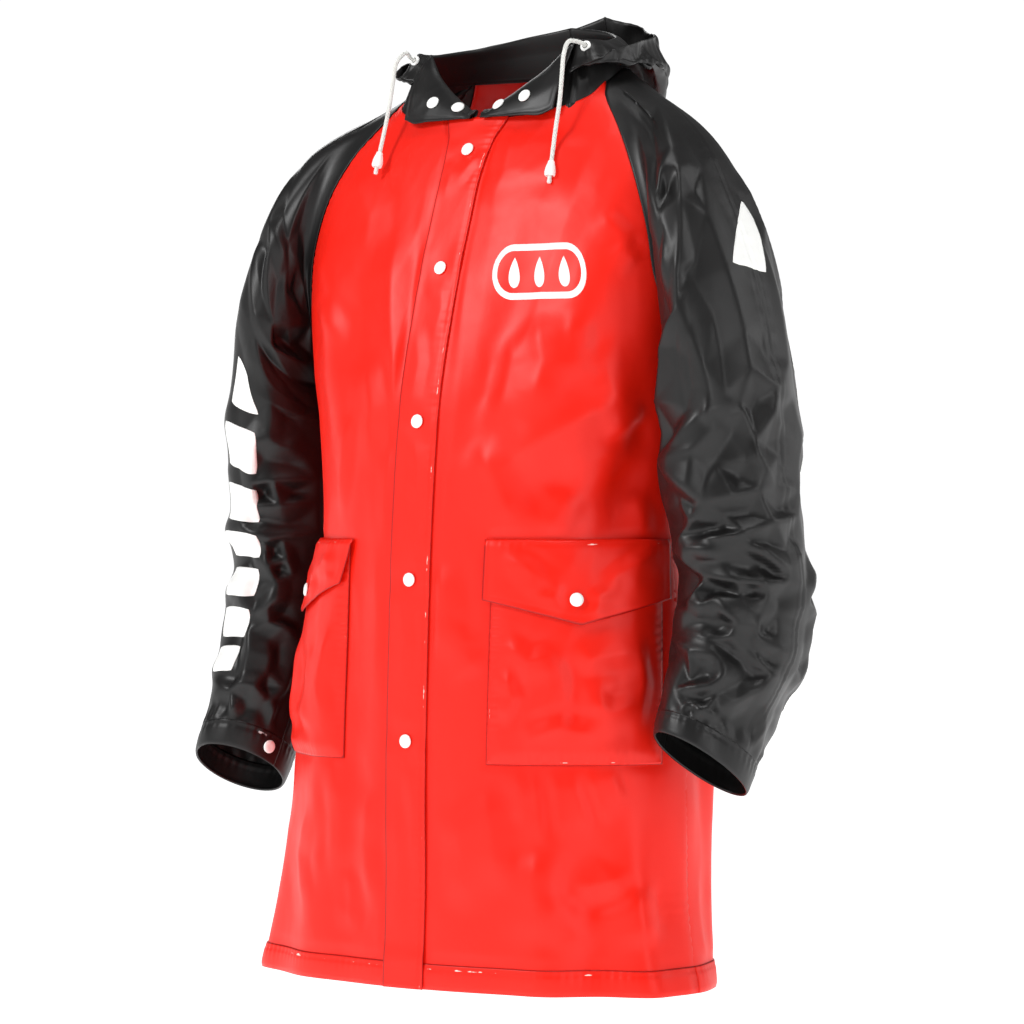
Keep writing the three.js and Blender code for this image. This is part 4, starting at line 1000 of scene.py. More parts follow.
def addFront(side):
    start = placket["lap"] - 5 if side == "left" else placket["under"]
    arcs = np.arange(start, panelEdge - 3, frontSettings["columnStep"])
    arcs = np.append(arcs, [panelEdge - 1.5, panelEdge])
    heights = np.arange(cut["hemLine"] + cut["hemBand"] - 6, cut["topFront"], frontSettings["rowStep"])
    heights = np.append(heights, cut["topFront"])
    points, normals = frontGrid(side, arcs, heights)
    grid = (points, normals, arcs, heights)
    arc, z = np.meshgrid(arcs, heights)
    broad, tall = frontSettings["creaseWidth"], frontSettings["creaseHeight"]
    lift = creaseLift(grid, [(way, h * tall * min(1, w / 13), w * broad, lean)
                             for way, h, w, lean in readCreases(frontCreases[side])])
    lift += frontSettings["slack"] * slack(points, slackSize, 1 + seedOf[side])
    lift += frontSettings["fineSlack"] * slack(points, fineSlackSize, 5)
    # the raglan and side seams pucker the film beside them
    fromSeam = panelEdge - arc
    lift += frontSettings["puckers"] * ripple(fromSeam, z, 9.0, 12.0, 0.4)
    lift = lift * underStrips(arc, z)
    lift -= 0.5 * (1 - underStrips(arc, z)) * ease((np.abs(arc) - 12) / 6)
    made = points + normals * lift[..., None]
    # the edge runs on a little under its neighbour at the seam
    beyond = made[:, -1] + unit(made[:, -1] - made[:, -3]) * frontSettings["tuckUnder"]
    beyond = beyond - normals[:, -1] * 1.3
    above = made[-1] - normals[-1] * 1.2
    above[:, 2] += 2.5
    full = np.concatenate([made, beyond[:, None]], axis=1)
    full = np.concatenate([full, np.concatenate([above, above[-1:]])[None]], axis=0)
    weld = groove(fromSeam, 3.0) * 0.8
    weld = np.pad(weld, ((0, 1), (0, 1)), mode="edge")
    fullNormals = np.pad(normals, ((0, 1), (0, 1), (0, 0)), mode="edge")
    piece = addSheet(f"front_{side}_panel", full, fullNormals, redFilm, weld=weld)
    dress(piece, "red_film", f"front_{side}")
    return made, normals, arcs, heights


fronts = {side: addFront(side) for side in handOf}
print("front panels made")

backSettings = {"columns": 130, "rowStep": 4.3, "slack": 2.6, "fineSlack": 0.4, "creaseHeight": 1.5}
# crest height, half width, lean, then the path's shares of the half width and heights
backCreases = [
    (4, 20, 0.6, -0.55, -150, -0.45, -260, -0.5, -380), (4, 18, -0.6, 0.5, -140, 0.4, -250, 0.46, -360),
    (3, 20, 0.3, 0, -60, 0.02, -200, -0.03, -360), (4, 18, 0.6, -0.2, -540, -0.24, -700, -0.2, -850),
    (4, 19, -0.6, 0.3, -500, 0.27, -690, 0.33, -850),
    (4, 16, 0.6, -0.75, -420, -0.68, -600, -0.72, -800),
    (4, 16, -0.6, 0.78, -400, 0.7, -560, 0.74, -780),
    (3.5, 13, 0.8, -0.92, -300, -0.7, -345, -0.45, -380),
    (3.5, 12, -0.8, 0.92, -300, 0.7, -350, 0.5, -370), (3, 12, 0.7, 0.88, -250, 0.72, -320, 0.62, -400),
    (3, 12, -0.7, -0.9, -240, -0.75, -310, -0.68, -390),
    (3, 17, 0.5, 0.05, -420, 0.1, -600, 0.06, -760),
    (3, 14, -0.6, -0.45, -620, -0.5, -740, -0.45, -850),
    (3, 14, 0.6, 0.55, -640, 0.5, -750, 0.55, -850),
]


def addBack():
    across = np.linspace(-1, 1, backSettings["columns"])
    heights = np.arange(cut["hemLine"] + cut["hemBand"] - 6, cut["topBack"], backSettings["rowStep"])
    heights = np.append(heights, cut["topBack"])
    points, normals = onBody(*backPlace(across[None, :], heights[:, None]))
    grid = (points, normals, across, heights)
    lift = backSettings["creaseHeight"] * creaseLift(grid, readCreases(backCreases))
    lift += backSettings["slack"] * slack(points, slackSize, 3)
    lift += backSettings["fineSlack"] * slack(points, fineSlackSize, 6)
    half = np.linalg.norm(points[:, -1] - points[:, 0], axis=-1)[:, None] * 0.75
    fromSeam = (1 - np.abs(across))[None, :] * half
    lift += 0.45 * ripple(fromSeam, heights[:, None], 9.0, 12.0, 1.4)
    lift = lift * clearOfHem(heights)[:, None] - 0.5 * (1 - clearOfHem(heights))[:, None]
    made = points + normals * lift[..., None]
    left = made[:, :1] + unit(made[:, :1] - made[:, 2:3]) * 3 - normals[:, :1] * 0.6
    right = made[:, -1:] + unit(made[:, -1:] - made[:, -3:-2]) * 3 - normals[:, -1:] * 0.6
    upper = heights[:, None, None] > cut["armpit"]
    left = np.where(upper, left - normals[:, :1] * 0.8, left)
    right = np.where(upper, right - normals[:, -1:] * 0.8, right)
    full = np.concatenate([left, made, right], axis=1)
    weld = np.pad(groove(fromSeam, 3.0) * 0.8, ((0, 1), (1, 1)), mode="edge")
    fullNormals = np.pad(normals, ((0, 1), (1, 1), (0, 0)), mode="edge")
    top = full[-1:] - fullNormals[-1:] * 1.2 + np.array([0, 0, 2.5])
    full = np.concatenate([full, top])
    piece = addSheet("back_panel", full, fullNormals, redFilm, weld=weld)
    dress(piece, "red_film", "back")


addBack()
print("back panel made")

hemSettings = {"film": 2.0, "rows": 16, "weldAt": 20.5, "puckers": 0.5}


# the hem is turned up and welded: a double band, rolled at its edge
def addHem(place, points, normals, along):
    up = np.linspace(0, cut["hemBand"], hemSettings["rows"])[:, None]
    fromWeld = up - hemSettings["weldAt"]
    lift = 0.9 + 0.6 * np.sin(np.pi * np.clip(up / 25, 0, 1)) - 0.9 * (1 - ease(up / 4))
    lift = lift - 0.7 * groove(up - 25, 2) - 0.55 * groove(fromWeld, 1.8)
    lift = lift + hemSettings["puckers"] * ripple(fromWeld, along, 8.0, 9.0, 0.7)
    # the weld value: pale spots on the weld line, stress whitening with painted highlight glints, and
    # painted shade along the band's upper rim
    weld = groove(fromWeld, 2.2) - groove(up - cut["hemBand"], 1.5)
    piece = addSheet(f"hem_{place}_band", points + normals * lift[..., None], normals, redFilm,
                     film=hemSettings["film"], weld=weld)
    dress(piece, "red_film", f"hem_{place}")


def addHems():
    heights = cut["hemLine"] + np.linspace(0, cut["hemBand"], hemSettings["rows"])
    for side in handOf:
        start = placket["lap"] - 2 if side == "left" else placket["under"]
        arcs = np.arange(start, panelEdge + 1, 2.6)
        arcs[-1] = panelEdge + 0.5
        addHem(f"front_{side}", *frontGrid(side, arcs, heights), arcs)
    across = np.linspace(-1, 1, 230)
    points, normals = onBody(*backPlace(across[None, :], heights[:, None]))
    addHem("back", points, normals, runOf(points[0]))


addHems()
print("hem made")

placketSettings = {
    "columns": 27, "rowStep": 3.2, "weldAt": 20, "weldWidth": 2.2, "puckers": 0.45, "edgeCurl": 0.8,
    "studs": (-60, -196, -345, -497, -652),
}
# crest height, half width, lean, then the path's arcs and heights
placketCreases = [
    (1.2, 6, 0.6, 18, -66, 6, -84, -4, -112), (1, 6, -0.5, -20, -70, -12, -96, -14, -130),
    (1.2, 7, 0.5, 4, -206, 10, -236, 6, -270), (1, 7, 0.5, -18, -250, -6, -290, -10, -330),
    (1.1, 7, -0.5, -4, -356, 4, -392, 0, -430), (1, 6, 0.5, 12, -440, 4, -470, 8, -492),
    (1.1, 7, 0.5, -10, -508, -2, -560, -8, -600), (1.3, 8, -0.5, 4, -664, 10, -720, 4, -780),
    (1.1, 8, 0.5, -14, -700, -8, -770, -14, -840),
]


def addPlacket():
    arcs = np.linspace(placket["edge"], placket["weld"], placketSettings["columns"])
    heights = np.arange(cut["hemLine"], cut["topFront"], placketSettings["rowStep"])
    heights = np.append(heights, cut["topFront"])
    points, normals = onBody(*placketPlace(arcs[None, :], heights[:, None]))
    grid = (points, normals, arcs, heights)
    arc, level = np.meshgrid(arcs, heights)
    lift = placket["film"] + 1.5 * (1 - ease((level - cut["hemLine"] - cut["hemBand"]) / 20))
    lift += creaseLift(grid, readCreases(placketCreases))
    fromWeld = arc - placketSettings["weldAt"]
    lift -= 0.75 * groove(fromWeld, placketSettings["weldWidth"])
    lift += placketSettings["puckers"] * ripple(fromWeld, level, 8.5, 9.0, 0.2)
    curl = placketSettings["edgeCurl"] * (0.6 + 0.4 * np.sin(level / 41))
    lift += curl * groove(arc - placket["edge"], 5)
    lift += 0.3 * slack(points, (40, 40, 70), 8)
    for stud in placketSettings["studs"]:
        turn = 3 * np.arctan2(level - stud, arc) + stud
        lift += snapPull(np.hypot(arc, level - stud), turn, 0.9, 13, 0.5, 22, 9)
    made = points + normals * lift[..., None]
    # the weld value: pale spots on the weld, stress whitening with painted highlight glints, and painted
    # shade along both rims
    weld = groove(fromWeld, 2.4) - groove(arc - placket["edge"], 1.4) - groove(arc - placket["weld"], 1.2)
    piece = addSheet("placket_strip", made, normals, redFilm, film=0.9, weld=weld)
    dress(piece, "red_film", "placket")


addPlacket()
print("placket made")

pocketSettings = {
    "columns": 62, "rows": 74, "film": 0.9, "weldAt": 3.5, "puckers": 1.0, "slack": 2.0,
    "slackSize": (34, 34, 60), "creaseHeight": 1.4, "flat": (0.174, 0.208),
}
# crest height, half width, lean, then the path's arcs and heights
pocketCreases = {
    "left": [
        (3.4, 7, 0.8, 106, -577, 114, -607, 104, -637), (3.2, 13, 0.6, 145, -555, 151, -601, 148, -653),
        (3, 12, -0.6, 191, -577, 196, -610, 193, -653), (2.6, 9, 0.6, 101, -554, 130, -573, 158, -564),
        (2.8, 10, -0.6, 168, -554, 185, -572, 235, -563),
        (3.2, 9, 0.7, 225, -541, 236, -593, 229, -654), (2.6, 9, 0.7, 123, -649, 161, -636, 207, -646),
        (2.2, 9, 0.6, 170, -600, 205, -622, 240, -612),
    ],
    "right": [
        (3.2, 9, 0.7, 110, -540, 118, -600, 108, -650), (3, 12, -0.6, 150, -560, 142, -610, 150, -655),
        (3.2, 12, 0.6, 200, -550, 190, -600, 200, -650), (2.6, 9, 0.7, 120, -640, 165, -628, 215, -642),
        (2.6, 9, -0.7, 236, -545, 230, -600, 238, -650),
    ],
}
# crest height, half width, lean, then the path's shares across and down the flap
flapCreases = {
    "left": [
        (1.6, 6, 0.7, 0.38, 0.5, 0.36, 0.75, 0.4, 0.97),
        (1.6, 6, -0.7, 0.56, 0.55, 0.58, 0.78, 0.53, 0.97),
        (2, 8, 0.7, 0.08, 0.2, 0.26, 0.45, 0.4, 0.64), (2, 8, -0.7, 0.92, 0.18, 0.72, 0.42, 0.56, 0.64),
        (1.5, 8, 0.5, 0.2, 0.16, 0.26, 0.6, 0.24, 0.9),
        (1.5, 8, -0.5, 0.8, 0.2, 0.76, 0.55, 0.78, 0.88),
    ],
    "right": [
        (1.8, 7, 0.7, 0.36, 0.45, 0.34, 0.72, 0.38, 0.96), (2, 8, 0.7, 0.1, 0.25, 0.24, 0.5, 0.4, 0.66),
        (2, 8, -0.7, 0.9, 0.2, 0.74, 0.44, 0.55, 0.64), (1.5, 7, 0.6, 0.14, 0.3, 0.16, 0.6, 0.12, 0.9),
    ],
}


def addPocket(side):
    arcs = np.linspace(pocket["inner"], pocket["outer"], pocketSettings["columns"])
    heights = np.linspace(pocket["bottom"], pocket["top"], pocketSettings["rows"])
    points, normals = frontGrid(side, arcs, heights)
    arc, z = np.meshgrid(arcs, heights)
    edge = np.minimum(np.minimum(arc - pocket["inner"], pocket["outer"] - arc), z - pocket["bottom"])
    along = np.where(edge == z - pocket["bottom"], arc, z)
    fromWeld = edge - pocketSettings["weldAt"]
    loose = creaseLift((points, normals, arcs, heights), readCreases(pocketCreases[side]))
    loose *= pocketSettings["creaseHeight"]
    loose += pocketSettings["slack"] * slack(points, pocketSettings["slackSize"], 11 + seedOf[side])
    lift = 1.8 + pocketBulge(arc, z) * ease(edge / 14) + loose * ease(edge / 12)
    lift -= 0.7 * groove(fromWeld, 1.8) + 0.9 * (1 - ease((edge + 0.3) / 1.6))
    lift += pocketSettings["puckers"] * ripple(fromWeld, along, 8.0, 9.0, 0.9) * ease(edge / 3)
    # the weld value: pale spots on the weld, stress whitening with painted highlight glints, and painted
    # shade along the pocket's rim
    piece = addSheet(f"pocket_{side}_bag", points + normals * lift[..., None], normals, redFilm,
                     film=pocketSettings["film"], weld=groove(fromWeld, 2.2) - groove(edge, 1.5))
    dress(piece, "red_film", f"pocket_{side}")


flapSettings = {
    "columns": 66, "rows": 30, "width": 188, "drop": 64, "snap": (0.47, 0.72), "topWeld": 4,
    "edgeWeld": 4.5, "slack": 0.8, "slackSize": (30, 30, 40), "creaseHeight": 1.4, "puckers": 0.5,
    "film": 0.9,
}


def addFlap(side):
    across = np.linspace(0, 1, flapSettings["columns"])
    down = np.linspace(0, 1, flapSettings["rows"])
    u, v = np.meshgrid(across, down)
    points, normals = onBody(*frontPlace(handOf[side], *flapSpot(side, u, v)))
    width, drop = flapSettings["width"], flapSettings["drop"]
    edge = np.minimum(np.minimum(u, 1 - u) * width, (1 - v) * 60)
    fromTop, fromEdge = v * drop - flapSettings["topWeld"], edge - flapSettings["edgeWeld"]
    lift = flapLift(side, u, v) + 1.4
    creased = creaseLift((points, normals, across, down), readCreases(flapCreases[side]))
    lift += flapSettings["creaseHeight"] * creased
    loose = slack(points, flapSettings["slackSize"], 14 + seedOf[side]) * ease(v / 0.2)
    lift += flapSettings["slack"] * loose - 0.8 * groove(fromTop, 1.8)
    lift += flapSettings["puckers"] * ripple(fromTop, u * width, 8.0, 8.0, 0.3)
    lift -= 0.45 * groove(fromEdge, 1.4) * ease(v / 0.15)
    x, y = u - flapSettings["snap"][0], v - flapSettings["snap"][1]
    lift += snapPull(np.hypot(x * width, y * drop), 4 * np.arctan2(y, x) + 1, 1.2, 14, 0.7, 26, 10)
    # the weld value: pale spots on the welds, stress whitening with painted highlight glints, and painted
    # shade along the flap's rim
    weld = np.maximum(groove(fromTop, 2.2), 0.75 * groove(fromEdge, 1.6)) - groove(edge, 1.5)
    piece = addSheet(f"flap_{side}_film", points + normals * lift[..., None], normals, redFilm,
                     film=flapSettings["film"], weld=weld)
    dress(piece, "red_film", f"flap_{side}")


for side in handOf:
    addPocket(side)
    addFlap(side)
print("pockets made")

sleeveSettings = {
    "columns": 180, "rowStep": 3.45, "slack": 0.25, "fineSlack": 0.06, "facets": 1.4, "sink": 0.44,
    "soften": 1, "edgeHeight": 0.13, "edgeWidth": 0.3, "bigFolds": 0.6, "drawnIn": 1.2, "wall": 1.4,
    "girth": 2 * np.pi * 66, "flat": (0.52, 0.68), "area": 0.26,
    # millimetres in a turn round the arm and in one section along it
    "scale": (415, 78),
}
# crest height, half width, lean, then the path's turns round the arm and sections along it
sleeveCreases = {
    "left": [
        (6, 9, -1, 0.403, 0.95, 0.361, 0.97, 0.325, 1.04),
        (7, 10, 1, 0.408, 0.97, 0.386, 1.14, 0.361, 1.32, 0.308, 1.76, 0.286, 2.06),
        (4, 10, -0.6, 0.322, 0.42, 0.314, 1.17, 0.306, 1.63, 0.289, 2.04),
        (6, 11, 1, 0.289, 2.04, 0.194, 2.1, 0.15, 2.83, 0.128, 3.51),
        (3, 16, 0.3, 0.414, 1.61, 0.417, 2.07, 0.428, 2.55, 0.425, 2.83),
        (3.5, 6, -0.8, 0.311, 1.32, 0.289, 1.52, 0.286, 1.77),
        (6, 11, -1, 0.128, 3.51, 0.233, 3.32, 0.311, 3.13, 0.392, 3.08),
        (4, 12, 0.6, 0.3, 2.35, 0.319, 2.72, 0.325, 2.97, 0.3, 3.18),
        (5, 10, 0.9, 0.364, 2.98, 0.431, 2.87, 0.486, 2.97, 0.472, 3.17, 0.422, 3.4),
        (4, 9, 0.8, 0.347, 3.21, 0.4, 3.15, 0.422, 3.4, 0.406, 3.59),
        (7, 10, -1, 0.131, 3.53, 0.206, 3.51, 0.283, 3.46, 0.333, 3.3),
        (6, 9, 0.8, 0.131, 3.53, 0.208, 3.68, 0.272, 3.84, 0.297, 3.95),
        (7, 9, 0.9, 0.414, 3.43, 0.417, 3.54, 0.436, 3.68, 0.467, 3.84),
        (6, 9, 1, 0.467, 3.84, 0.419, 3.85, 0.361, 3.89, 0.297, 3.95),
        (5, 9, 0.7, 0.297, 3.95, 0.261, 4.17, 0.203, 4.5, 0.172, 4.73),
        (6.5, 9, -1, 0.253, 4.56, 0.311, 4.48, 0.372, 4.39, 0.436, 4.24, 0.533, 4.12),
        (5, 8, -0.9, 0.172, 4.73, 0.228, 4.7, 0.269, 4.69, 0.303, 4.65),
        (4, 7, 0.8, 0.172, 4.74, 0.211, 4.86, 0.217, 5.02),
        (7, 9, 0.9, 0.364, 4.56, 0.389, 4.67, 0.419, 4.81, 0.453, 5.02),
        (6.5, 9, 1, 0.453, 5.02, 0.389, 5.11, 0.333, 5.1, 0.256, 5.1),
        (5, 8, 0.7, 0.256, 5.1, 0.228, 5.39, 0.219, 5.57, 0.214, 5.7),
        (5, 8, -0.9, 0.214, 5.7, 0.258, 5.61, 0.292, 5.48, 0.344, 5.37),
        (5.5, 8, 0.9, 0.283, 5.58, 0.311, 5.64, 0.342, 5.75, 0.378, 5.89),
        (5, 8, 1, 0.378, 5.89, 0.331, 5.99, 0.272, 6.06, 0.186, 5.97),
        (4, 6, 0.9, 0.358, 5.48, 0.375, 5.41, 0.397, 5.33, 0.389, 5.57),
        (5, 6, -0.9, 0.389, 5.57, 0.383, 5.71, 0.389, 5.87, 0.442, 5.81),
        (5, 8, 0.8, 0.122, 6.12, 0.206, 6.32, 0.244, 6.41, 0.322, 6.39, 0.358, 6.41),
        (5.5, 9, 1, 0.358, 6.41, 0.35, 6.62, 0.319, 6.87, 0.222, 7.07),
        (4.5, 7, -0.8, 0.394, 6.05, 0.417, 5.95, 0.453, 5.92, 0.475, 6.09),
        (5.5, 9, -0.9, 0.503, 6.33, 0.456, 6.3, 0.417, 6.23, 0.378, 6.13),
        (4.5, 10, 0.8, 0.503, 6.34, 0.431, 6.63, 0.403, 6.9, 0.369, 7.18),
        (5, 8, -1, 0.244, 7.62, 0.292, 7.58, 0.325, 7.35, 0.356, 6.89),
        (4, 7, 0.8, 0.258, 7.39, 0.306, 7.28, 0.361, 7.29, 0.403, 7.49),
        (3.5, 9, 0.6, 0.481, 6.72, 0.525, 7, 0.517, 7.36),
        (3.5, 9, 0.6, 0.583, 3.71, 0.55, 3.88, 0.569, 4.06),
        (3, 9, 0.6, 0.508, 4.64, 0.458, 4.84, 0.506, 5.11),
    ],
    "right": [
        (5.5, 9, 0.9, 0.328, 1.12, 0.289, 0.95, 0.256, 0.84, 0.225, 0.76),
        (6, 11, -0.9, 0.328, 1.12, 0.286, 1.06, 0.264, 1.18, 0.253, 1.38),
        (3.5, 10, 0.6, 0.258, 0.76, 0.211, 0.58, 0.16, 0.4),
        (4.5, 8, 0.8, 0.228, 0.95, 0.2, 0.89, 0.147, 0.59),
        (3.5, 9, 0.6, 0.197, 0.8, 0.147, 0.68, 0.1, 0.4),
        (5, 7, 0.8, 0.25, 1.87, 0.242, 1.68, 0.219, 1.71, 0.206, 1.82),
        (7, 10, -1, 0.217, 1.71, 0.197, 1.4, 0.167, 0.96, 0.1, 0.45),
        (5.5, 10, 0.8, 0.211, 1.7, 0.178, 1.7, 0.133, 1.4, 0.075, 0.71),
        (3.5, 16, 0.4, 0.225, 1.9, 0.186, 2.15, 0.161, 2.72, 0.136, 3.26),
        (2.5, 16, 0.4, 0.178, 2.1, 0.125, 2.44, 0.083, 2.85),
        (4, 12, -0.6, 0.206, 3.29, 0.169, 3.24, 0.119, 3.32, 0.081, 3.43),
        (7, 10, -1, 0.256, 3.82, 0.217, 3.7, 0.161, 3.67, 0.05, 3.65),
        (6, 9, 0.9, 0.256, 3.83, 0.214, 3.96, 0.147, 3.96, 0.053, 3.88),
        (6, 10, 0.9, 0.258, 4.24, 0.217, 4.37, 0.183, 4.45, 0.058, 4.35),
        (6.5, 10, 0.9, 0.194, 4.52, 0.186, 4.92, 0.161, 5.17, 0.119, 5.41),
        (3.5, 10, 0.6, 0.147, 4.47, 0.139, 4.84, 0.122, 5.09),
        (7, 9, 1, 0.119, 5.42, 0.15, 5.44, 0.172, 5.51, 0.206, 5.66),
        (5, 11, -0.8, 0.206, 5.66, 0.206, 5.96, 0.192, 6.26, 0.192, 6.65),
        (5.5, 10, 0.9, 0.206, 5.66, 0.156, 5.78, 0.108, 5.84, 0.061, 5.98),
        (4, 10, 0.7, 0.15, 6.06, 0.131, 6.33, 0.122, 6.63),
        (6, 9, 0.9, 0.228, 6.96, 0.192, 6.86, 0.15, 6.87, 0.092, 7.01),
        (4, 8, 0.7, 0.092, 7.01, 0.069, 7.16, 0.067, 7.37),
        (4, 8, -0.7, 0.222, 7.02, 0.197, 7.29, 0.192, 7.48),
        (4, 9, 0.7, 0.058, 6.45, 0.056, 6.76, 0.075, 7.02),
        (3.5, 9, 0.6, 0.258, 5.29, 0.236, 5.53, 0.208, 5.65),
    ],
}


def addSleeve(side):
    fineRows = np.linspace(0, cuffStart + 0.08, 600)
    run = runOf(sleevePoint(side, 0.5, fineRows))
    rows = np.interp(np.arange(0, run[-1], sleeveSettings["rowStep"]), run, fineRows)
    rows[-1] = fineRows[-1]
    around = np.linspace(0, 1, sleeveSettings["columns"])
    u, v = np.meshgrid(around, rows)
    points = sleevePoint(side, u, v)
    inward = slopeNormals(points) * handOf[side]
    points = points + inward * (sleeveSettings["bigFolds"] * sleeveFold(side, u, v))[..., None]
    normals = -slopeNormals(points) * handOf[side]
    points = points + sleeveSettings["wall"] * normals
    grid = (points, normals, around, rows)
    clear = ease((np.minimum(u, 1 - u) - 0.02) / 0.05)
    ends = ease((v - 0.12) / 0.3) * ease((cuffStart + 0.02 - v) / 0.25)
    # the back of the arm folds much as the front does, a little higher up
    creases = readCreases(sleeveCreases[side])
    creases += [([(0.985 - a, min(b + 0.22, 7.3)) for a, b in way], 0.6 * h, w, -lean)
                for way, h, w, lean in creases if max(a for a, b in way) < 0.46]
    net = [(way, h * sleeveSettings["facets"], w, lean) for way, h, w, lean in creases]
    lift = facetLift(grid, net, sleeveSettings["scale"], sleeveSettings["sink"], sleeveSettings["soften"])
    lift -= sleeveSettings["drawnIn"]
    crests = [(way, h * sleeveSettings["edgeHeight"], w * sleeveSettings["edgeWidth"], 0)
              for way, h, w, lean in creases]
    lift += creaseLift(grid, crests)
    slow = sleeveSettings["slack"] * slack(points, (38, 38, 62), 21 + seedOf[side])
    quick = sleeveSettings["fineSlack"] * slack(points, (17, 17, 26), 24 + seedOf[side])
    lift += (slow + quick) * (0.3 + 0.7 * ease((v - 1.2) / 1.2))
    lift = lift * (0.35 + 0.65 * clear) * ends
    # welds over and under the arm
    for seam in (0.5, 0.0, 1.0):
        away = (u - seam) * sleeveSettings["girth"]
        lift += (0.5 * groove(np.abs(away) - 3.2, 1.6) - 0.5 * groove(away, 1.6)) * ends
        lift += 0.4 * ripple(away, v * sleeveSettings["scale"][1], 9.0, 11.0, seam + 0.3) * ends
    # the film gathers a little into the cuff
    gathers = np.sin(2 * np.pi * u * 17 + 2 * np.sin(2 * np.pi * u * 3)) * clear
    lift += 1.1 * gathers * ease((v - cuffStart + 0.5) / 0.45) * ease((cuffStart + 0.03 - v) / 0.12)
    made = points + normals * lift[..., None]
    made[:, -1] = made[:, 0]
    overArm = groove((u - 0.5) * sleeveSettings["girth"], 2.6)
    atTop = groove((v - 0.06) * sleeveSettings["scale"][1], 3.0)
    weld = 0.8 * np.maximum(overArm, atTop)
    piece = addSheet(f"sleeve_{side}_film", made, normals, blackFilm, weld=weld)
    dress(piece, "black_film", f"sleeve_front_{side}", f"sleeve_back_{side}")
    return made, normals, around, rows


cuffSettings = {
    "columns": 190, "rows": 15, "weldAt": 5, "girth": 290, "slack": 0.6, "puckers": 0.5, "film": 2.0,
    "flat": (0.3, 0.028),
}


def addCuff(side):
    u, v = np.meshgrid(np.linspace(0, 1, cuffSettings["columns"]),
                       np.linspace(cuffStart, sectionCount, cuffSettings["rows"]))
    points = sleevePoint(side, u, v)
    normals = -slopeNormals(points) * handOf[side]
    # millimetres down from the band's upper edge
    down = (v - cuffStart) * lastSection
    fromWeld = down - cuffSettings["weldAt"]
    lift = 1.9 + 0.5 * np.sin(np.pi * np.clip(down / cuffBand, 0, 1))
    lift -= 0.9 * (1 - ease((cuffBand - down) / 3))
    lift += cuffSettings["puckers"] * ripple(fromWeld, u * cuffSettings["girth"], 8.0, 8.0, 0.5)
    lift += cuffSettings["slack"] * slack(points, (22, 22, 30), 31) - 0.6 * groove(fromWeld, 1.8)
    made = points + normals * lift[..., None]
    made[:, -1] = made[:, 0]
    piece = addSheet(f"cuff_{side}_band", made, normals, blackFilm, film=cuffSettings["film"],
                     weld=groove(fromWeld, 2.4))
    dress(piece, "black_film", f"cuff_{side}")


sleeves = {side: addSleeve(side) for side in handOf}
for side in handOf:
    addCuff(side)
print("sleeves made")

collarSettings = {
    "columns": 44, "rows": 64, "start": -0.05, "end": 1.03, "weldIn": 4.5, "slack": 0.9, "film": 1.3,
}
hoodSettings = {
    "columns": 108, "rows": 112, "start": 33.2, "slack": 0.8, "facets": 1.3, "sink": 0.55, "pleats": 0.5,
    "channel": 17, "wall": 1.4, "film": 1.0,
    # millimetres in a degree round the neck and from the neckline to the rim
    "scale": (2.3, 190),
}
# crest height, half width, lean, then the path's degrees round the neck and shares from neckline to rim
hoodCreases = [
    (5, 8, 0.8, 66, 0.6, 84, 0.72, 104, 0.8), (4, 8, -0.8, 60, 0.78, 80, 0.88, 96, 0.97),
    (6, 9, 0.9, 92, 0.62, 110, 0.74, 132, 0.8), (5, 9, -0.9, 108, 0.9, 126, 0.8, 146, 0.72),
    (5, 9, 0.8, 124, 0.95, 140, 0.88, 160, 0.86), (5, 9, -0.8, 136, 0.62, 150, 0.7, 168, 0.66),
    (4, 7, 0.8, 74, 0.52, 70, 0.62, 58, 0.7), (4, 8, 0.8, 150, 0.98, 160, 0.9, 172, 0.95),
    (4, 9, 0.7, 130, 0.45, 145, 0.4, 165, 0.42), (4.5, 8, 0.8, 96, 0.5, 112, 0.55, 120, 0.66),
    (4, 7, -0.8, 84, 0.6, 92, 0.7, 88, 0.84), (5, 8, 0.8, 112, 0.64, 118, 0.78, 110, 0.9),
    (4, 8, -0.7, 140, 0.5, 150, 0.58, 146, 0.68), (3.5, 8, 0.7, 160, 0.5, 170, 0.56, 176, 0.68),
]


# the neckline's edge runs on down a little, inside the body's
def withFoot(made, normals, weld):
    made = np.concatenate([made[:1] - np.array([0, 0, 4.0]), made])
    weld = np.pad(weld, ((1, 0), (0, 0)), mode="edge")
    return made, np.concatenate([normals[:1], normals]), weld


def addCollar(side):
    sign, start, end = handOf[side], collarSettings["start"], collarSettings["end"]
    # the tabs meet at the middle of the front and run on a little over the hood's ends
    u, v = np.meshgrid(np.linspace(start, end, collarSettings["columns"]),
                       np.linspace(0, 1, collarSettings["rows"]))
    points = collarPoint(sign, u, v)
    # the face that shows is the neck side, which the fold turns outward
    normals = -slopeNormals(points) * sign
    edge = np.minimum(np.minimum(u - start, end - u) * 75, (1 - v) * 90)
    fromWeld = edge - collarSettings["weldIn"]
    lift = 1.4 - 0.6 * groove(fromWeld, 1.5)
    lift += collarSettings["slack"] * slack(points, (24, 24, 24), 33) * ease(v / 0.3)
    made, normals, weld = withFoot(points + normals * lift[..., None], normals,
                                   groove(fromWeld, 1.8) * 0.7 * ease(v / 0.4))
    piece = addSheet(f"collar_{side}_tab", made, normals, blackFilm, film=collarSettings["film"],
                     weld=weld)
    dress(piece, "black_film", f"collar_{side}")


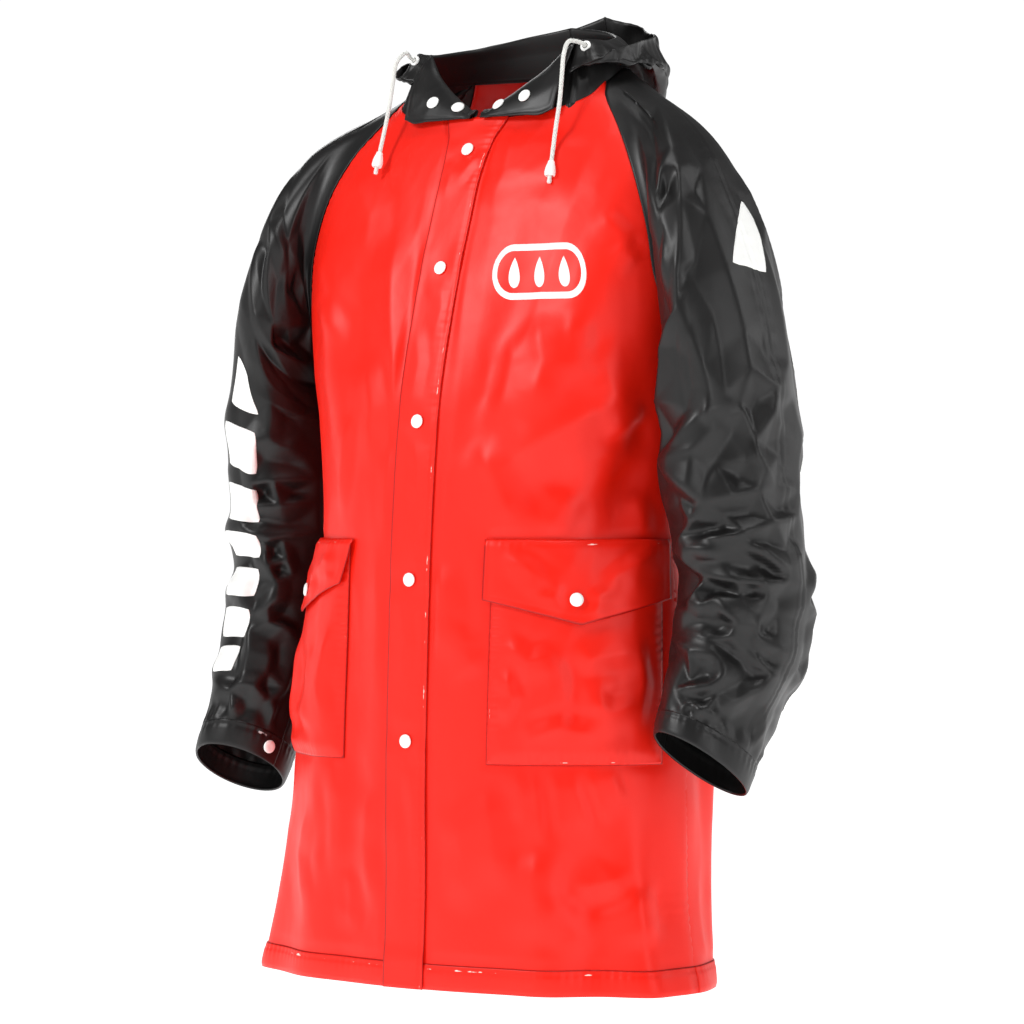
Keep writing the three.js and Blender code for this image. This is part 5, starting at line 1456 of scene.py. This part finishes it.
def addHood(side):
    sign = handOf[side]
    angles = np.linspace(hoodSettings["start"], 180, hoodSettings["columns"])
    shares = np.linspace(0, 1, hoodSettings["rows"])
    u, v = np.meshgrid(angles, shares)
    points = hoodPoint(sign, u, v)
    inward = slopeNormals(points) * sign
    points = points + inward * (hoodSettings["pleats"] * hoodFold(sign, u, v))[..., None]
    normals = -slopeNormals(points) * sign
    points = points + hoodSettings["wall"] * normals
    grid = (points, normals, angles, shares)
    loose = ease((v - 0.3) / 0.2) * ease((u - 42) / 14) * ease((180 - u) / 5)
    # the right half's creases lie a little further round, so that the halves aren't mirror images
    creases = [([(a + 4 * seedOf[side], b) for a, b in way], h, w, lean * sign)
               for way, h, w, lean in readCreases(hoodCreases)]
    net = [(way, h * hoodSettings["facets"], w, lean) for way, h, w, lean in creases]
    lift = facetLift(grid, net, hoodSettings["scale"], hoodSettings["sink"], 1)
    lift += creaseLift(grid, [(way, 0.8, 3.5, 0) for way, h, w, lean in creases])
    lift += hoodSettings["slack"] * slack(points, (30, 30, 30), 41 + seedOf[side])
    # under the collar's end the hood lies a little lower
    lift = lift * loose - 1.6 * (1 - ease((u - 34.5) / 2.5))
    # the drawstring's channel round the rim, gathered along its weld
    fromRim = (1 - v) * 130
    fromWeld = fromRim - hoodSettings["channel"]
    lift += 0.8 * np.sin(np.pi * np.clip(fromRim / hoodSettings["channel"], 0, 1))
    lift -= 0.8 * groove(fromWeld, 2.2)
    lift += 0.9 * ripple(fromRim - 14, u * 1.7, 11.0, 16.0, 0.8)
    made = points + normals * lift[..., None]
    made[:, -1, 0] = 0.0
    made, normals, weld = withFoot(made, normals, groove(fromWeld, 2.6) * 0.6)
    piece = addSheet(f"hood_{side}_half", made, normals, blackFilm, film=hoodSettings["film"], weld=weld)
    dress(piece, "black_film", f"hood_{side}")


for side in handOf:
    addCollar(side)
    addHood(side)
print("collar and hood made")

# radius and height
capProfile = [
    (0.0, -0.9), (3.0, -0.9), (5.9, -0.6), (6.5, -0.2), (6.65, 0.3), (6.6, 0.8), (6.2, 1.3),
    (5.5, 1.8), (4.6, 2.2), (3.6, 2.45), (2.4, 2.55), (1.2, 2.5), (0.5, 2.45), (0.0, 2.44),
]
snapNodes = [f"snap_front_{k}" for k in range(1, 6)]
snapNodes += [f"snap_{place}_{side}" for place in ("pocket", "cuff") for side in handOf]
snapNodes += [f"snap_collar_{side}_{k}" for side in handOf for k in (1, 2)]
for node in snapNodes:
    _, axis, rimMiddle = seatOf(node, 6.2)
    addTurned(node + "_cap", capProfile, 36, rimMiddle, axis, node)
print("snaps made")


def addPrint(name, grid, u, v, slot, lift=0.22):
    made = onGrid(grid, u, v, lift)
    normals = onGrid(grid, u, v, lift + 1.0) - made
    dress(addSheet(name, made, normals, ink, film=0.12), slot)


chestMark = {
    "arc": 134, "z": -202, "width": 126, "height": 54, "line": 6.5, "drops": (-34, 0, 34),
    "dropSize": 1.35,
}


def addChestMark():
    grid = fronts["left"]
    half, radius = chestMark["width"] / 2 - chestMark["height"] / 2, chestMark["height"] / 2
    t = np.linspace(0, 1, 161)
    loop = []
    for s in t:
        way = s * (4 * half + 2 * np.pi * radius)
        if way < 2 * half:
            loop.append((-half + way, radius, 0, 1))
        elif way < 2 * half + np.pi * radius:
            a = np.pi / 2 - (way - 2 * half) / radius
            loop.append((half + radius * np.cos(a), radius * np.sin(a), np.cos(a), np.sin(a)))
        elif way < 4 * half + np.pi * radius:
            loop.append((half - (way - 2 * half - np.pi * radius), -radius, 0, -1))
        else:
            a = -np.pi / 2 - (way - 4 * half - np.pi * radius) / radius
            loop.append((-half + radius * np.cos(a), radius * np.sin(a), np.cos(a), np.sin(a)))
    loop = np.array(loop)
    inward = np.linspace(0, chestMark["line"], 4)[:, None]
    x = loop[None, :, 0] - loop[None, :, 2] * inward
    y = loop[None, :, 1] - loop[None, :, 3] * inward
    addPrint("chest_mark_outline", grid, chestMark["arc"] + x, chestMark["z"] + y, "red_film")
    a = np.linspace(0, 2 * np.pi, 49)
    reach = np.linspace(0.02, 1, 7)[:, None]
    for k, offset in enumerate(chestMark["drops"]):
        x = chestMark["dropSize"] * 6.8 * np.sin(a) * np.sin(a / 2) ** 0.9
        y = chestMark["dropSize"] * (11.0 * np.cos(a) - 0.5)
        addPrint(f"chest_mark_drop_{k + 1}", grid, chestMark["arc"] + offset + x * reach,
                 chestMark["z"] + y * reach, "red_film")


# middle in turns round, middle along, half width in turns at the upper and the lower end, half length,
# lean
sleeveMark = {
    "left": [(0.522, 1.83, 0.018, 0.055, 0.27, -0.038), (0.67, 2.55, 0.04, 0.04, 0.24, 0)]
    + [(0.69, 3.17 + 0.62 * k, 0.05, 0.05, 0.24, 0) for k in range(6)],
    "right": [(0.262, 2.72, 0.03, 0.062, 0.25, -0.012)]
    + [(0.262 + 0.004 * k, 3.36 + 0.6 * k, 0.064, 0.064, 0.22, 0) for k in range(5)]
    + [(0.29, 6.36, 0.06, 0.05, 0.24, 0)],
}


def addSleeveMarks(side):
    x, y = np.meshgrid(np.linspace(-1, 1, 26), np.linspace(-1, 1, 26))
    corner = np.clip((x ** 2 + y ** 2 - 1.3) / 0.7, 0, 1)
    x, y = x * (1 - 0.07 * corner), y * (1 - 0.07 * corner)
    for k, (middle, along, upper, lower, length, lean) in enumerate(sleeveMark[side]):
        half = upper + (lower - upper) * (y + 1) / 2
        u = middle + half * x + lean * y
        v = along + length * y + 0.04 * x * handOf[side]
        addPrint(f"sleeve_mark_{side}_{k + 1}", sleeves[side], u, v, "black_film", 0.4)


addChestMark()
for side in handOf:
    addSleeveMarks(side)
print("prints made")

floorMaterial = plainMaterial("pale_floor_paint", "#FFFFFF", "#FBFBFB", 0.7, 3.0, 0.0005,
                              {"Emission Color": (1, 1, 1, 1), "Emission Strength": 1.0})
floorSettings = {"half": 30000, "height": -1450}
corners = [(x * floorSettings["half"], y * floorSettings["half"], floorSettings["height"])
           for x, y in ((-1, -1), (1, -1), (1, 1), (-1, 1))]
floor = addMesh("floor", corners, [[0, 1, 2, 3]], floorMaterial, smooth=False)

lightSettings = [
    # name, place, size, watts
    ("key", (-1.5, -3.3, 2.0), (1.1, 1.1), 98),
    ("fill", (3.5, -1.0, 0.5), (0.7, 2.4), 28),
    ("top", (0.7, -0.3, 2.6), (1.3, 1.3), 36),
    ("rim", (-2.6, 2.2, 1.0), (0.8, 2.4), 26),
    ("back", (2.4, 2.6, 1.2), (0.8, 2.4), 20),
]
for name, place, size, watts in lightSettings:
    lamp = bpy.data.lights.new(name, "AREA")
    lamp.shape = "RECTANGLE"
    lamp.size, lamp.size_y = size
    lamp.energy = watts
    lightObject = bpy.data.objects.new(name, lamp)
    bpy.context.scene.collection.objects.link(lightObject)
    lightObject.location = place
    heading = Vector((0, 0, -0.45)) - Vector(place)
    lightObject.rotation_euler = heading.to_track_quat("-Z", "Y").to_euler()

# a white sweep all round at the camera's height, and a dimmer room above and below it
sweepSettings = {"From Min": 0.13, "From Max": 0.24, "To Min": 1.04, "To Max": 0.15}
world = bpy.data.worlds.new("studio")
bpy.context.scene.world = world
world.use_nodes = True
background = world.node_tree.nodes["Background"]
background.inputs["Color"].default_value = (1, 1, 1, 1)
around = addNode(world, "ShaderNodeTexCoord").outputs["Generated"]
height = addNode(world, "ShaderNodeSeparateXYZ", {}, {"Vector": around}).outputs["Z"]
level = addNode(world, "ShaderNodeMath", {"operation": "ABSOLUTE"}, {0: height})
strength = addNode(world, "ShaderNodeMapRange", sweepSettings, {"Value": level.outputs["Value"]})
world.node_tree.links.new(strength.outputs["Result"], background.inputs["Strength"])
bpy.context.scene.view_settings.view_transform = "Standard"
print("light made")
